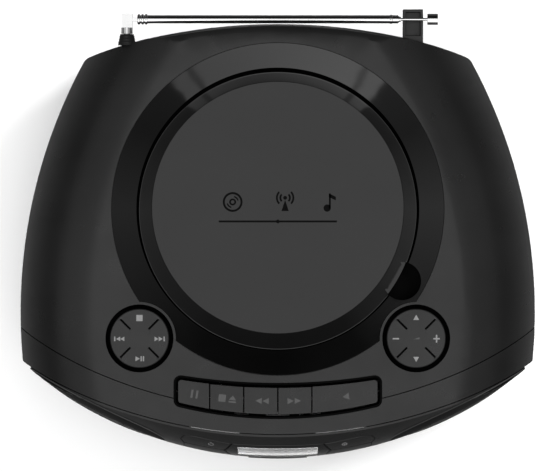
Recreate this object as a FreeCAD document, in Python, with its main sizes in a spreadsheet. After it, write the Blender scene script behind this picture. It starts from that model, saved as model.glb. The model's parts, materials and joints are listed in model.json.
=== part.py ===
"""Boombox with a disc deck, a cassette deck and a radio, as separate named pieces.

Millimetres, +X to the right, +Y to the rear, +Z up. The origin is on the table, below the middle of the
bounding box. Every driving size is a cell of the sheet `dims`, and each piece is bound to those cells.
"""
import FreeCAD, Part
import math
import operator
import os

import Sketcher

Vector = FreeCAD.Vector
Rotation = FreeCAD.Rotation

DIMENSIONS = {
    # casing: the outline is two side arcs and a rear arc, closed by the front seams and the fascia
    "half_width": 150.0,
    "widest_y": -45.2,
    "side_radius": 306.0,
    "rear_radius": 338.0,
    "rear_y": 121.0,
    "top_z": 139.0,
    "floor_z": 3.0,
    "shoulder": 46.0,
    "rear_edge": 5.0,
    "tuck": 9.0,
    "tuck_z": 78.0,
    "wall": 2.5,
    "seam": 0.5,
    "split_z": 80.0,
    "upper_seam_radius": 261.0,
    "upper_seam_y": -101.2,
    "lower_seam_radius": 288.0,
    "lower_seam_y": -115.1,
    "fascia_half_width": 143.3,
    # disc deck: a dish whose lid, bevel and ring all fall towards the middle
    "deck_y": 14.5,
    "ring_radius": 95.5,
    "ring_inner_radius": 81.3,
    "ring_drop": 2.8,
    "lid_radius": 79.9,
    "lid_y": 13.6,
    "plate_radius": 72.5,
    "plate_y": 15.4,
    "lid_rim_z": 136.0,
    "plate_z": 132.6,
    "disc_radius": 60.0,
    "tray_z": 118.0,
    "hinge_y": 101.0,
    "hinge_z": 130.0,
    "notch_x": 71.3,
    "notch_y": -26.8,
    "notch_radius": 11.0,
    # control pads
    "pad_x": 79.5,
    "pad_y": -59.8,
    "pad_radius": 17.0,
    "well_radius": 19.5,
    "boss_radius": 21.0,
    # cassette keys
    "bay_half_width": 59.9,
    "bay_rear_y": -85.4,
    "bay_rear_radius": 350.0,
    "bay_front_y": -106.2,
    "bay_front_radius": 239.0,
    "bay_border": 2.7,
    "bay_corner": 4.2,
    "key_gap": 0.7,
    "key_pitch": 19.6,
    "key_shaft_y": -72.0,
    "key_shaft_z": 130.0,
    "key_shaft_radius": 1.5,
    # front
    "door_half_width": 56.0,
    "door_top_z": 92.0,
    "door_low_z": 9.0,
    "door_hinge_y": -113.5,
    "door_hinge_z": 14.0,
    "speaker_x": 104.5,
    "speaker_y": -104.4,
    "speaker_z": 58.0,
    "speaker_angle": 27.5,
    "grille_z": 64.0,
    "grille_half_width": 39.0,
    "grille_half_height": 52.0,
    "grille_lean": 18.0,
    # antenna
    "antenna_x": -87.0,
    "antenna_y": 124.0,
    "antenna_z": 127.0,
    "rest_x": 78.1,
    # fits
    "running": 0.05,
    "clear": 0.4,
}

WORKING_DEPTH = 200.0


class Size:
    """A length with both its value and the formula of sheet cells that it comes from."""

    def __init__(self, value, formula):
        self.value = value
        self.formula = formula

    def __add__(self, other):
        return combined(self, "+", other)

    def __radd__(self, other):
        return combined(other, "+", self)

    def __sub__(self, other):
        return combined(self, "-", other)

    def __rsub__(self, other):
        return combined(other, "-", self)

    def __mul__(self, other):
        return combined(self, "*", other)

    def __rmul__(self, other):
        return combined(other, "*", self)

    def __truediv__(self, other):
        return combined(self, "/", other)

    def __neg__(self):
        return combined(0.0, "-", self)


ARITHMETIC = {"+": operator.add, "-": operator.sub, "*": operator.mul, "/": operator.truediv}


def as_size(number):
    if isinstance(number, Size):
        return number
    return Size(float(number), repr(float(number)))


def combined(left, sign, right):
    left, right = as_size(left), as_size(right)
    value = ARITHMETIC[sign](left.value, right.value)
    return Size(value, "(%s %s %s)" % (left.formula, sign, right.formula))


class Cells:
    """The sheet's cells, read as attributes: d.wall is the size in the cell whose alias is wall."""


def make_sheet(doc):
    sheet = doc.addObject("Spreadsheet::Sheet", "dims")
    cells = Cells()
    for row, (alias, value) in enumerate(DIMENSIONS.items(), start=1):
        sheet.set("A%d" % row, alias)
        sheet.set("B%d" % row, str(value))
        sheet.setAlias("B%d" % row, alias)
        setattr(cells, alias, Size(value, "dims." + alias))
    doc.recompute()
    return cells


doc = FreeCAD.newDocument("boombox")
d = make_sheet(doc)
pieces = []

ALONG = {
    "Z": Rotation(),
    "X": Rotation(Vector(0, 1, 0), 90),
    "Y": Rotation(Vector(1, 0, 0), -90),
}


def bind(item, prop, size):
    item.setExpression(prop, as_size(size).formula)


def place(item, at, axis="Z"):
    turn = axis if isinstance(axis, Rotation) else ALONG[axis]
    item.Placement = FreeCAD.Placement(Vector(*[as_size(step).value for step in at]), turn)
    for letter, step in zip("xyz", at):
        if isinstance(step, Size):
            bind(item, "Placement.Base." + letter, step)
    return item


def box(name, size, low):
    item = doc.addObject("Part::Box", name)
    for prop, length in zip(("Length", "Width", "Height"), size):
        bind(item, prop, length)
    return place(item, low)


def centred_box(name, size, centre):
    return box(name, size, [middle - length / 2 for middle, length in zip(centre, map(as_size, size))])


def cylinder(name, radius, height, at, axis="Z"):
    item = doc.addObject("Part::Cylinder", name)
    bind(item, "Radius", radius)
    bind(item, "Height", height)
    return place(item, at, axis)


def cone(name, low_radius, high_radius, height, at, axis="Z"):
    item = doc.addObject("Part::Cone", name)
    bind(item, "Radius1", low_radius)
    bind(item, "Radius2", high_radius)
    bind(item, "Height", height)
    return place(item, at, axis)


def fuse(name, items):
    item = doc.addObject("Part::MultiFuse", name)
    item.Shapes = items
    return item


def overlap(name, items):
    item = doc.addObject("Part::MultiCommon", name)
    item.Shapes = items
    return item


def cut(name, base, tools):
    item = doc.addObject("Part::Cut", name)
    item.Base = base
    item.Tool = tools[0] if len(tools) == 1 else fuse(name + "_tools", tools)
    return item


def tube(name, outer, inner, height, at, axis="Z"):
    return cut(name, cylinder(name + "_outside", outer, height, at, axis),
               [cylinder(name + "_bore", inner, height, at, axis)])


def piece(item, label):
    """Marks a finished shape as one of the object's pieces, under the name of its file."""
    item.Label = label
    pieces.append(item)
    return item


def origin_plane(body, role):
    return next(item for item in body.Origin.OriginFeatures if item.Role == role)


def pin_corner(sketch, corner, across, up):
    """Holds one end of a sketch line at its place, by a bound distance or on the sketch's own axis."""
    for kind, size, own_axis in (("DistanceX", across, -2), ("DistanceY", up, -1)):
        size = as_size(size)
        if abs(size.value) < 1e-9:
            sketch.addConstraint(Sketcher.Constraint("PointOnObject", corner, 1, own_axis))
            continue
        index = sketch.addConstraint(Sketcher.Constraint(kind, -1, 1, corner, 1, size.value))
        bind(sketch, "Constraints[%d]" % index, size)


def sketch_outline(body, name, plane, corners):
    """A closed sketch through corners, each a pair of sizes, with straight edges between them."""
    sketch = body.newObject("Sketcher::SketchObject", name)
    sketch.AttachmentSupport = [(origin_plane(body, plane), "")]
    sketch.MapMode = "FlatFace"
    points = [Vector(as_size(across).value, as_size(up).value, 0) for across, up in corners]
    for start, end in zip(points, points[1:] + points[:1]):
        sketch.addGeometry(Part.LineSegment(start, end), False)
    for index in range(len(points)):
        sketch.addConstraint(Sketcher.Constraint("Coincident", index, 2, (index + 1) % len(points), 1))
    for index, (across, up) in enumerate(corners):
        pin_corner(sketch, index, across, up)
    return sketch


def turned(name, corners, at, axis="Z"):
    """A body turned about its own axis, from an outline of (radius, height) corners."""
    body = doc.addObject("PartDesign::Body", name)
    sketch = sketch_outline(body, name + "_outline", "XZ_Plane", corners)
    turn = body.newObject("PartDesign::Revolution", name + "_turn")
    turn.Profile = sketch
    turn.ReferenceAxis = (sketch, ["V_Axis"])
    turn.Angle = 360
    body.Tip = turn
    return place(body, at, axis)


def padded(name, corners, height, at, axis="Z"):
    """A body pushed out along its own Z from an outline of (x, y) corners."""
    body = doc.addObject("PartDesign::Body", name)
    sketch = sketch_outline(body, name + "_outline", "XY_Plane", corners)
    pad = body.newObject("PartDesign::Pad", name + "_pad")
    pad.Profile = sketch
    bind(pad, "Length", height)
    body.Tip = pad
    return place(body, at, axis)


# Casing

def side_form(name, side, inset):
    """Everything inside one side wall: turned about a far axis, with the rounded shoulder on its top edge."""
    body = doc.addObject("PartDesign::Body", name)
    sketch = body.newObject("Sketcher::SketchObject", name + "_outline")
    sketch.AttachmentSupport = [(origin_plane(body, "XZ_Plane"), "")]
    sketch.MapMode = "FlatFace"
    wall_radius = d.side_radius - inset
    low_radius = wall_radius - d.tuck
    low_z = d.floor_z + inset
    high_z = d.top_z - inset
    bend_z = d.top_z - d.shoulder
    bend_radius = d.side_radius - d.shoulder
    corners = [(as_size(0), low_z), (low_radius, low_z), (wall_radius, d.tuck_z), (wall_radius, bend_z),
               (bend_radius, high_z), (as_size(0), high_z)]
    points = [Vector(across.value, up.value, 0) for across, up in corners]
    centre = Vector(bend_radius.value, bend_z.value, 0)
    arc = Part.ArcOfCircle(Part.Circle(centre, Vector(0, 0, 1), (d.shoulder - inset).value), 0, math.pi / 2)
    edges = [Part.LineSegment(points[0], points[1]), Part.LineSegment(points[1], points[2]),
             Part.LineSegment(points[2], points[3]), arc,
             Part.LineSegment(points[4], points[5]), Part.LineSegment(points[5], points[0])]
    for edge in edges:
        sketch.addGeometry(edge, False)
    for index in range(len(edges)):
        sketch.addConstraint(Sketcher.Constraint("Coincident", index, 2, (index + 1) % len(edges), 1))
    for index in (0, 1, 2, 4, 5):
        pin_corner(sketch, index, *corners[index])
    pin_corner(sketch, 3, *corners[3])
    index = sketch.addConstraint(Sketcher.Constraint("Radius", 3, (d.shoulder - inset).value))
    bind(sketch, "Constraints[%d]" % index, d.shoulder - inset)
    turn = body.newObject("PartDesign::Revolution", name + "_turn")
    turn.Profile = sketch
    turn.ReferenceAxis = (sketch, ["V_Axis"])
    turn.Angle = 360
    body.Tip = turn
    return place(body, (side * (d.half_width - d.side_radius), d.widest_y, 0))


def rear_form(name, inset):
    """Everything in front of the curved rear wall, with its top edge eased."""
    radius = d.rear_radius - inset
    edge = d.rear_edge
    low_z = d.floor_z + inset
    high_z = d.top_z - inset
    slope = 0.3 * edge
    return turned(name, [(0, low_z), (radius - slope, low_z), (radius, low_z + edge), (radius, high_z - edge),
                         (radius - slope, high_z - slope), (radius - edge, high_z), (0, high_z)],
                  (0, d.rear_y - d.rear_radius, 0))


def corner_cutter(name, side, radius):
    """What a rounded rear corner takes away: the wedge outside a post that touches both walls."""
    far = DIMENSIONS["half_width"] - DIMENSIONS["side_radius"]
    side_centre = Vector(side * far, DIMENSIONS["widest_y"], 0)
    rear_centre = Vector(0, DIMENSIONS["rear_y"] - DIMENSIONS["rear_radius"], 0)
    reach_side = DIMENSIONS["side_radius"] - radius
    reach_rear = DIMENSIONS["rear_radius"] - radius
    between = rear_centre - side_centre
    span = between.Length
    forward = (reach_side ** 2 - reach_rear ** 2 + span ** 2) / (2 * span)
    across = math.sqrt(reach_side ** 2 - forward ** 2)
    along = between / span
    normal = Vector(-along.y, along.x, 0) * side
    post = side_centre + along * forward + normal * across
    to_side = (post - side_centre).normalize()
    to_rear = (post - rear_centre).normalize()
    reach = 4 * radius
    corners = [(0, 0), (to_side.x * radius, to_side.y * radius), (to_side.x * reach, to_side.y * reach),
               (to_rear.x * reach, to_rear.y * reach), (to_rear.x * radius, to_rear.y * radius)]
    low = (post.x, post.y, -20)
    wedge = padded(name + "_wedge", corners, WORKING_DEPTH, low)
    return cut(name, wedge, [cylinder(name + "_post", radius, WORKING_DEPTH, low)])


def body_form(name, inset):
    walls = [side_form(name + "_left", -1, inset), side_form(name + "_right", 1, inset),
             rear_form(name + "_rear", inset)]
    form = overlap(name + "_form", walls)
    if inset:
        return form
    cutters = [corner_cutter("%s_corner_%d" % (name, side), side, REAR_CORNER) for side in (-1, 1)]
    return cut(name, form, cutters)


REAR_CORNER = 7.0
RIM_DEPTH = 5.5
RIM_LOW_Z = 3
GUSSET_HEIGHT = 26
GUSSET_X = 148


def seam_cylinder(name, radius, low_y, gap):
    """A tall cylinder whose front wall is a seam, moved out by gap."""
    return cylinder(name, radius + gap, WORKING_DEPTH, (0, low_y + radius, -20))


FASCIA_SECTIONS = (
    # height, lowest y, plan radius: the fascia leans, bulges at the middle and rolls back to the seam
    (-2.0, -124.4, 236.0),
    (30.0, -127.8, 233.5),
    (64.0, -129.9, 232.0),
    (96.0, -129.9, 226.0),
    (110.0, -129.6, 225.0),
    (119.0, -128.6, 228.0),
    (127.0, -126.0, 236.0),
    (134.5, -120.9, 260.0),
    (139.5, -116.1, 289.0),
)


def fascia_form(name, inset):
    """The space behind the curved front: a loft of level sections, each an arc closed by straight sides."""
    body = doc.addObject("PartDesign::Body", name)
    reach = 170.0
    rear = 20.0
    sections = []
    for index, (height, low_y, radius) in enumerate(FASCIA_SECTIONS):
        radius -= inset
        centre_y = low_y + inset + radius
        end_y = centre_y - math.sqrt(radius * radius - reach * reach)
        start = math.atan2(end_y - centre_y, -reach)
        end = math.atan2(end_y - centre_y, reach)
        sketch = body.newObject("Sketcher::SketchObject", "%s_%d" % (name, index))
        sketch.AttachmentSupport = [(origin_plane(body, "XY_Plane"), "")]
        sketch.MapMode = "FlatFace"
        sketch.AttachmentOffset = FreeCAD.Placement(Vector(0, 0, height - inset), Rotation())
        circle = Part.Circle(Vector(0, centre_y, 0), Vector(0, 0, 1), radius)
        sketch.addGeometry(Part.ArcOfCircle(circle, start, end), False)
        corners = [Vector(reach, end_y, 0), Vector(reach, rear, 0), Vector(-reach, rear, 0),
                   Vector(-reach, end_y, 0)]
        for first, second in zip(corners, corners[1:]):
            sketch.addGeometry(Part.LineSegment(first, second), False)
        for edge in range(4):
            sketch.addConstraint(Sketcher.Constraint("Coincident", edge, 2, (edge + 1) % 4, 1))
        sections.append(sketch)
    loft = body.newObject("PartDesign::AdditiveLoft", name + "_loft")
    loft.Profile = sections[0]
    loft.Sections = sections[1:]
    body.Tip = loft
    return body


outer = body_form("outer", 0)
inner = body_form("inner", d.wall)
front_outer = fascia_form("front_outer", 0)
front_inner = fascia_form("front_inner", DIMENSIONS["wall"])
front_deep = fascia_form("front_deep", 3.4)

FACE_TILT = Rotation(Vector(1, 0, 0), 60)
FACE_Y = -126.8
FACE_Z = 125.5


def face_prism(name, corners, clearance=0.0, depth=18.0):
    """A prism through the leaning control strip; x runs across it and y up it, from the display's middle."""
    middle_x = sum(x for x, y in corners) / len(corners)
    middle_y = sum(y for x, y in corners) / len(corners)
    grown = []
    for x, y in corners:
        grown.append((x + math.copysign(clearance, x - middle_x), y + math.copysign(clearance, y - middle_y)))
    start = FACE_TILT.multVec(Vector(0, 0, -depth / 2))
    return padded(name, grown, depth, (start.x, FACE_Y + start.y, FACE_Z + start.z), FACE_TILT)


HOLE_DEPTH = 26.0
DISPLAY_OUTLINE = ((-26.2, 9.6), (-30.1, 1.0), (-26.2, -9.6), (26.2, -9.6), (30.1, 1.0), (26.2, 9.6))
LENS_OUTLINE = ((-23.0, 6.6), (-23.0, -8.0), (23.0, -8.0), (23.0, 6.6))
UPPER_BUTTON = ((27.0, 9.4), (31.0, 1.6), (54.0, 4.6), (56.0, 8.4), (54.0, 12.4), (48.0, 13.2))
LOWER_BUTTON = ((30.9, 0.8), (27.2, -8.4), (50.0, -5.4), (54.0, -1.4), (54.0, 3.8))


def mirrored(corners):
    return tuple((-x, y) for x, y in reversed(corners))


def pad_well(name, side):
    """The cup under a control pad, with two ears that hold the pad's pivot."""
    at = (side * d.pad_x, d.pad_y)
    cup = cut(name + "_cup", cylinder(name + "_cup_body", d.boss_radius, 13.5, (*at, d.top_z - 13.5)),
              [cylinder(name + "_cup_hollow", d.well_radius, 20, (*at, d.top_z - 12))])
    ears = [centred_box(name + "_ear_%d" % hand, (3, 5, 6.2), (side * d.pad_x + hand * 8, d.pad_y,
                                                              d.top_z - 9.3)) for hand in (-1, 1)]
    bore = cylinder(name + "_bore", 1.5 + d.running, 24, (side * d.pad_x - 12, d.pad_y, PAD_PIVOT_Z), "X")
    return fuse(name, [cup, cut(name + "_ears", fuse(name + "_ear_pair", ears), [bore])])


PAD_PIVOT_Z = d.top_z - 8


def key_bay(name, inset, low_z, height):
    """The curved strip that holds the keys, drawn in by inset on every side."""
    half = d.bay_half_width - inset
    strip = box(name + "_strip", (2 * half, 40, height), (-half, -115, low_z))
    front = cylinder(name + "_front", d.bay_front_radius - inset, height,
                     (0, d.bay_front_y + d.bay_front_radius, low_z))
    rear = cylinder(name + "_rear", d.bay_rear_radius + inset, height,
                    (0, d.bay_rear_y + d.bay_rear_radius, low_z))
    sharp = cut(name + "_sharp", overlap(name + "_cell", [strip, front]), [rear])
    return upright_fillet(name, sharp, d.bay_corner - inset)


def upright_fillet(name, base, radius):
    """Rounds every upright edge of a finished prism."""
    doc.recompute()
    edges = []
    for number, edge in enumerate(base.Shape.Edges, start=1):
        rise = edge.Vertexes[-1].Point - edge.Vertexes[0].Point
        if abs(rise.z) > 1 and abs(rise.x) + abs(rise.y) < 0.001:
            edges.append((number, radius.value, radius.value))
    item = doc.addObject("Part::Fillet", name)
    item.Base = base
    item.Edges = edges
    return item


def grip_recess():
    """The finger hollow in the rear wall, by which the set is carried."""
    shell = box("grip_shell", (114, 28, 28), (-57, 91, 90))
    hollow = box("grip_hollow", (110, 60, 24), (-55, 93, 92))
    wall = overlap("grip_wall", [cut("grip_box", shell, [hollow]), outer])
    return wall, box("grip_mouth", (110, 60, 24), (-55, 93, 92))


FEET = ((-110, -52), (110, -52), (-88, 80), (88, 80))
SCREWS = ((-96, -30), (96, -30), (-98, 20), (98, 20))


def screw_bosses():
    """Posts inside the cabinet floor that the screws bite into, and the seats their heads sink in."""
    bosses = [cylinder("boss_%d" % index, 4.5, 15, (x, y, 5.4)) for index, (x, y) in enumerate(SCREWS)]
    seats = [cylinder("seat_%d" % index, 3.2, 4, (x, y, 1.4)) for index, (x, y) in enumerate(SCREWS)]
    bores = [cylinder("boss_bore_%d" % index, 1.55, 15, (x, y, 5.3)) for index, (x, y) in enumerate(SCREWS)]
    return bosses, seats + bores


def casing():
    """The top cover, rear cabinet, battery door, front bezel and antenna rest, cut from one hollow body."""
    shell = cut("shell", outer, [inner])
    upper_cover = seam_cylinder("upper_cover_seam", d.upper_seam_radius, d.upper_seam_y, -d.seam / 2)
    upper_front = seam_cylinder("upper_front_seam", d.upper_seam_radius, d.upper_seam_y, d.seam / 2)
    lower_bezel = seam_cylinder("lower_bezel_seam", d.lower_seam_radius, d.lower_seam_y, -d.seam / 2)
    lower_front = seam_cylinder("lower_front_seam", d.lower_seam_radius, d.lower_seam_y, d.seam / 2)
    above = box("above_split", (400, 400, 100), (-200, -200, d.split_z + d.seam / 2))
    below = box("below_split", (400, 400, 100), (-200, -200, d.split_z - d.seam / 2 - 100))
    grip, grip_mouth = grip_recess()
    wells = [pad_well("left_well", -1), pad_well("right_well", 1)]
    ring_hole = cut("ring_hole", cylinder("ring_hole_disc", d.ring_radius + 0.2, 20, (0, d.deck_y, 130)),
                    [cylinder("left_boss", d.boss_radius, 20, (-d.pad_x, d.pad_y, 130)),
                     cylinder("right_boss", d.boss_radius, 20, (d.pad_x, d.pad_y, 130))])
    well_holes = [cylinder("left_well_hole", d.well_radius, 20, (-d.pad_x, d.pad_y, 130)),
                  cylinder("right_well_hole", d.well_radius, 20, (d.pad_x, d.pad_y, 130))]
    bay_hole = key_bay("bay_hole", 0, 120, 30)
    rest_box = box("rest_box", (11.6, 20, 12), (d.rest_x - 5.8, 109.9, d.antenna_z - 2.4 - 12))
    rest_hollow = box("rest_hollow", (8.4, 13.5, 12), (d.rest_x - 4.2, 114.8, d.antenna_z - 9))
    piece(cut("antenna_rest_shape", rest_box, [rest_hollow, outer]), "antenna_rest")
    cover_skin = cut("cover_skin", overlap("cover_blank", [shell, upper_cover, above]),
                     [ring_hole, *well_holes, bay_hole, grip_mouth])
    piece(fuse("top_cover_shape", [cover_skin, *wells, grip]), "top_cover")

    battery_mouth = box("battery_mouth", (150.6, 40, 44.6), (-75.3, 100, 13.7))
    inlet_hole = box("inlet_hole", (21, 50, 13), (-102, 80, 22))
    cabinet_skin = overlap("cabinet_blank", [shell, upper_cover, below])
    bay_shell = cut("battery_box", box("battery_box_shell", (156, 70, 50), (-78, 50, 11)),
                    [box("battery_box_hollow", (152, 80, 46), (-76, 52, 13))])
    jack_hole = cylinder("jack_hole", 3.1, 40, (100, 80, 60), "Y")
    bosses, boss_cuts = screw_bosses()
    cabinet = fuse("cabinet_shell", [cabinet_skin, overlap("bay_walls", [bay_shell, outer]), *bosses])
    openings = [battery_mouth, inlet_hole, jack_hole, *boss_cuts]
    piece(cut("rear_cabinet_shape", cabinet, openings), "rear_cabinet")
    door_block = box("battery_door_block", (150, 60, 44), (-75, 90, 14))
    piece(overlap("battery_door_shape", [shell, door_block]), "battery_door")

    band = cut("bezel_band", overlap("bezel_blank", [shell, lower_bezel]), [upper_front])
    rim_back = seam_cylinder("rim_back", d.lower_seam_radius, d.lower_seam_y, -3)
    above_floor = box("above_floor", (400, 400, 200), (-200, -200, RIM_LOW_Z))
    gussets = [box("rim_gusset_%d" % side, (40, 200, GUSSET_HEIGHT), (side * GUSSET_X - 20, -200, 0))
               for side in (-1, 1)]
    rim_inside = cut("rim_inside", body_form("rim_inner", RIM_DEPTH), gussets)
    rim = cut("bezel_rim", overlap("rim_blank", [outer, lower_bezel, above_floor]), [rim_back, rim_inside])
    bezel_bay = key_bay("bezel_bay_hole", 0, 120, 30)
    piece(cut("front_bezel_shape", fuse("bezel_and_rim", [band, rim]), [bezel_bay]), "front_bezel")
    fascia(lower_front)


def fascia(seam):
    """The leaning front: its skin, four buttons, display panel and lens, grilles and cassette door."""
    clip = box("fascia_clip", (2 * d.fascia_half_width, 200, 200), (-d.fascia_half_width, -160, 0))
    blank = overlap("fascia_blank", [front_outer, outer, clip])
    skin = cut("fascia_skin", blank, [overlap("fascia_inside", [front_inner, inner]), seam])
    thick = cut("fascia_thick", blank, [front_deep])
    holes = [face_prism("display_hole", DISPLAY_OUTLINE, 0.3, HOLE_DEPTH),
             box("door_hole", (2 * d.door_half_width + 1, 80, d.door_top_z + 10.5),
                 (-d.door_half_width - 0.5, -140, -10))]
    for side, name in ((-1, "left"), (1, "right")):
        for level, corners in (("upper", UPPER_BUTTON), ("lower", LOWER_BUTTON)):
            corners = mirrored(corners) if side < 0 else corners
            holes.append(face_prism("%s_%s_hole" % (name, level), corners, 0.3, HOLE_DEPTH))
            label = "%s_%s_button" % (name, level)
            piece(overlap(label + "_shape", [thick, face_prism(label + "_prism", corners)]), label)
        speaker(name, side, holes, thick)
    bearings = []
    for hand in (-1, 1):
        centre = (hand * 58.4, d.door_hinge_y, d.door_hinge_z)
        bearings.append(centred_box("door_bearing_%d" % hand, (2.6, 6, 8), centre))
    pin_bore = cylinder("door_pin_bore", 2 + d.running, 118.4, (-59.2, d.door_hinge_y, d.door_hinge_z), "X")
    bearing_blank = overlap("bearing_blank", [fuse("bearing_pair", bearings), front_outer])
    bearing_set = cut("door_bearings", bearing_blank, [pin_bore])
    face = cut("fascia_panel", skin, [*holes, pin_bore])
    piece(fuse("front_fascia_shape", [face, bearing_set]), "front_fascia")
    panel = overlap("panel_blank", [thick, face_prism("panel_prism", DISPLAY_OUTLINE)])
    window = face_prism("lens_hole", LENS_OUTLINE, 0.1)
    piece(cut("display_panel_shape", panel, [window]), "display_panel")
    piece(overlap("display_lens_shape", [skin, face_prism("lens_prism", LENS_OUTLINE)]), "display_lens")
    cassette_door(thick)


def grille_prism(name, side, facing, clearance):
    """An oval prism along a speaker's axis, whose top leans outward."""
    lean = math.radians(DIMENSIONS["grille_lean"])
    level = Vector(0, 0, 1).cross(facing) * side
    upward = Vector(0, 0, 1) * math.cos(lean) + level * math.sin(lean)
    oval = doc.addObject("Part::Ellipse", name + "_oval")
    bind(oval, "MajorRadius", d.grille_half_height + clearance)
    bind(oval, "MinorRadius", d.grille_half_width + clearance)
    depth = 60
    start = (side * d.speaker_x - facing.x * depth / 2, d.speaker_y - facing.y * depth / 2, d.grille_z)
    place(oval, start, Rotation(upward, facing.cross(upward), facing, "ZXY"))
    prism = doc.addObject("Part::Extrusion", name)
    prism.Base = oval
    prism.DirMode = "Custom"
    prism.Dir = facing
    prism.LengthFwd = depth
    prism.Solid = True
    return prism


def speaker(name, side, holes, thick):
    """An oval grille on the fascia's curve, and the driver that faces it from inside."""
    angle = math.radians(DIMENSIONS["speaker_angle"])
    facing = Vector(side * math.sin(angle), -math.cos(angle), 0)
    turn = Rotation(Vector(0, 0, 1), facing)

    def along(distance):
        return (side * d.speaker_x + facing.x * distance, d.speaker_y + facing.y * distance, d.speaker_z)

    holes.append(grille_prism(name + "_speaker_hole", side, facing, 0.2))
    grilles[name] = overlap(name + "_grille", [thick, grille_prism(name + "_grille_prism", side, facing, 0)])
    frame = [cylinder(name + "_flange", 38, 2, along(-14), turn),
             cone(name + "_basket", 22, 36, 20, along(-34), turn),
             cylinder(name + "_magnet", 25, 11, along(-45), turn)]
    cavity = cone(name + "_cavity", 20, 34.5, 22, along(-32), turn)
    drivers[name] = cut(name + "_frame", fuse(name + "_frame_blank", frame), [cavity])
    bowl = cut(name + "_bowl", cone(name + "_bowl_out", 15, 33, 15, along(-27), turn),
               [cone(name + "_bowl_in", 14, 32.2, 15, along(-26.2), turn)])
    cap = cylinder(name + "_cap", 12, 5, along(-27), turn)
    cones[name] = fuse(name + "_cone", [bowl, cap])


grilles = {}
drivers = {}
cones = {}


def cassette_door(thick):
    """The curved door with its window, and the two pockets behind it that carry the cassette."""
    half = d.door_half_width
    panel = overlap("door_panel", [thick, box("door_block", (2 * half, 60, d.door_top_z - d.door_low_z),
                                              (-half, -140, d.door_low_z))])
    window_block = box("window_block", (72, 60, 36), (-36, -140, 38))
    pockets = [box("pocket_%d" % hand, (2, 12, 70), (hand * 53 - 1, -117, 10)) for hand in (-1, 1)]
    pins = [cylinder("door_pin_%d" % hand, 2, 6, (hand * 55.8 - 3, d.door_hinge_y, d.door_hinge_z), "X")
            for hand in (-1, 1)]
    piece(fuse("door_shape", [cut("door_frame", panel, [window_block]), *pockets, *pins]), "cassette_door")
    clear_block = box("clear_block", (71.6, 60, 35.6), (-35.8, -140, 38.2))
    piece(overlap("window_shape", [thick, clear_block]), "cassette_window")


def speakers():
    piece(fuse("speaker_grilles_shape", list(grilles.values())), "speaker_grilles")
    piece(fuse("speaker_frames_shape", list(drivers.values())), "speaker_frames")
    piece(fuse("speaker_cones_shape", list(cones.values())), "speaker_cones")


# Disc deck

def circle_at(name, radius, y, z):
    item = doc.addObject("Part::Circle", name)
    bind(item, "Radius", radius)
    return place(item, (0, y, z))


def oblique_cone(name, low, high):
    """The solid between two level circles, each given as radius, y and z."""
    item = doc.addObject("Part::Loft", name)
    item.Sections = [circle_at(name + "_low", *low), circle_at(name + "_high", *high)]
    item.Solid = True
    item.Ruled = True
    return item


def deck_ring():
    outer_z = d.top_z
    inner_z = d.top_z - d.ring_drop
    thickness = 2.0
    section = [(d.ring_inner_radius, inner_z - thickness), (d.ring_radius, outer_z - thickness),
               (d.ring_radius, outer_z), (d.ring_inner_radius, inner_z)]
    dish = turned("ring_dish", section, (0, d.deck_y, 0))
    notch = (d.notch_x, d.notch_y)
    cup = cut("notch_cup", cylinder("notch_body", d.notch_radius + 1.2, 13, (*notch, 124)),
              [cylinder("notch_hollow", d.notch_radius, 20, (*notch, 125.2)),
               cylinder("notch_lid_room", d.ring_inner_radius, 20, (0, d.deck_y, 128)),
               oblique_cone("notch_ceiling", (d.ring_inner_radius, d.deck_y, inner_z - 0.4),
                            (d.ring_radius + 5, d.deck_y, outer_z + 0.6))])
    bosses = [cylinder("ring_boss_%d" % side, d.boss_radius + 0.2, 20, (side * d.pad_x, d.pad_y, 125))
              for side in (-1, 1)]
    notch_hole = cylinder("ring_notch", d.notch_radius, 20, (*notch, 130))
    bay = key_bay("ring_bay", -1.5, 120, 30)
    piece(fuse("deck_ring_shape", [cut("ring_skin", dish, [notch_hole, *bosses, bay]),
                                   cut("notch_wall", cup, bosses)]), "deck_ring")


ARM_X = 17.0


def disc_tray():
    tray = turned("tray_bowl", [(17, d.tray_z - 2), (d.disc_radius + 4, d.tray_z - 2),
                                (d.disc_radius + 4, d.tray_z + 2.5), (93, d.tray_z + 2.5),
                                (93, d.tray_z + 4.5), (d.disc_radius + 4, d.tray_z + 4.5),
                                (d.disc_radius + 4, d.tray_z + 9.5), (d.disc_radius + 2, d.tray_z + 9.5),
                                (d.disc_radius + 2, d.tray_z), (17, d.tray_z)], (0, d.deck_y, 0))
    slot = box("sled_slot", (12, 44, 10), (-6, d.deck_y - 60.5, d.tray_z - 5))
    key_room = box("key_room", (130, 22, 10), (-65, -98, d.tray_z + 1))
    notch_room = cylinder("notch_room", d.notch_radius + 1.6, 10, (d.notch_x, d.notch_y, d.tray_z + 1))
    wells = [cylinder("tray_well_%d" % side, d.boss_radius + 1.5, 20, (side * d.pad_x, d.pad_y, 110))
             for side in (-1, 1)]
    brackets = []
    for side in (-1, 1):
        for middle in (ARM_X - 4.8, ARM_X + 4.8):
            brackets.append(centred_box("bracket_%d_%d" % (side, middle), (2.4, 5, 9.8),
                                        (side * middle, d.hinge_y, d.tray_z + 9.2)))
    pin_bore = cylinder("pin_bore", 1.25, 60, (-30, d.hinge_y, d.hinge_z), "X")
    bracket_set = cut("bracket_set", fuse("bracket_blank", brackets), [pin_bore])
    piece(fuse("disc_tray_shape", [cut("tray_cut", tray, [slot, key_room, notch_room, *wells]), bracket_set]),
          "disc_tray")
    pins = [cylinder("pin_%d" % side, 1.25, 12.4, (side * ARM_X - 6.2, d.hinge_y, d.hinge_z), "X")
            for side in (-1, 1)]
    piece(fuse("lid_hinge_pins_shape", pins), "lid_hinge_pins")


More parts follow.
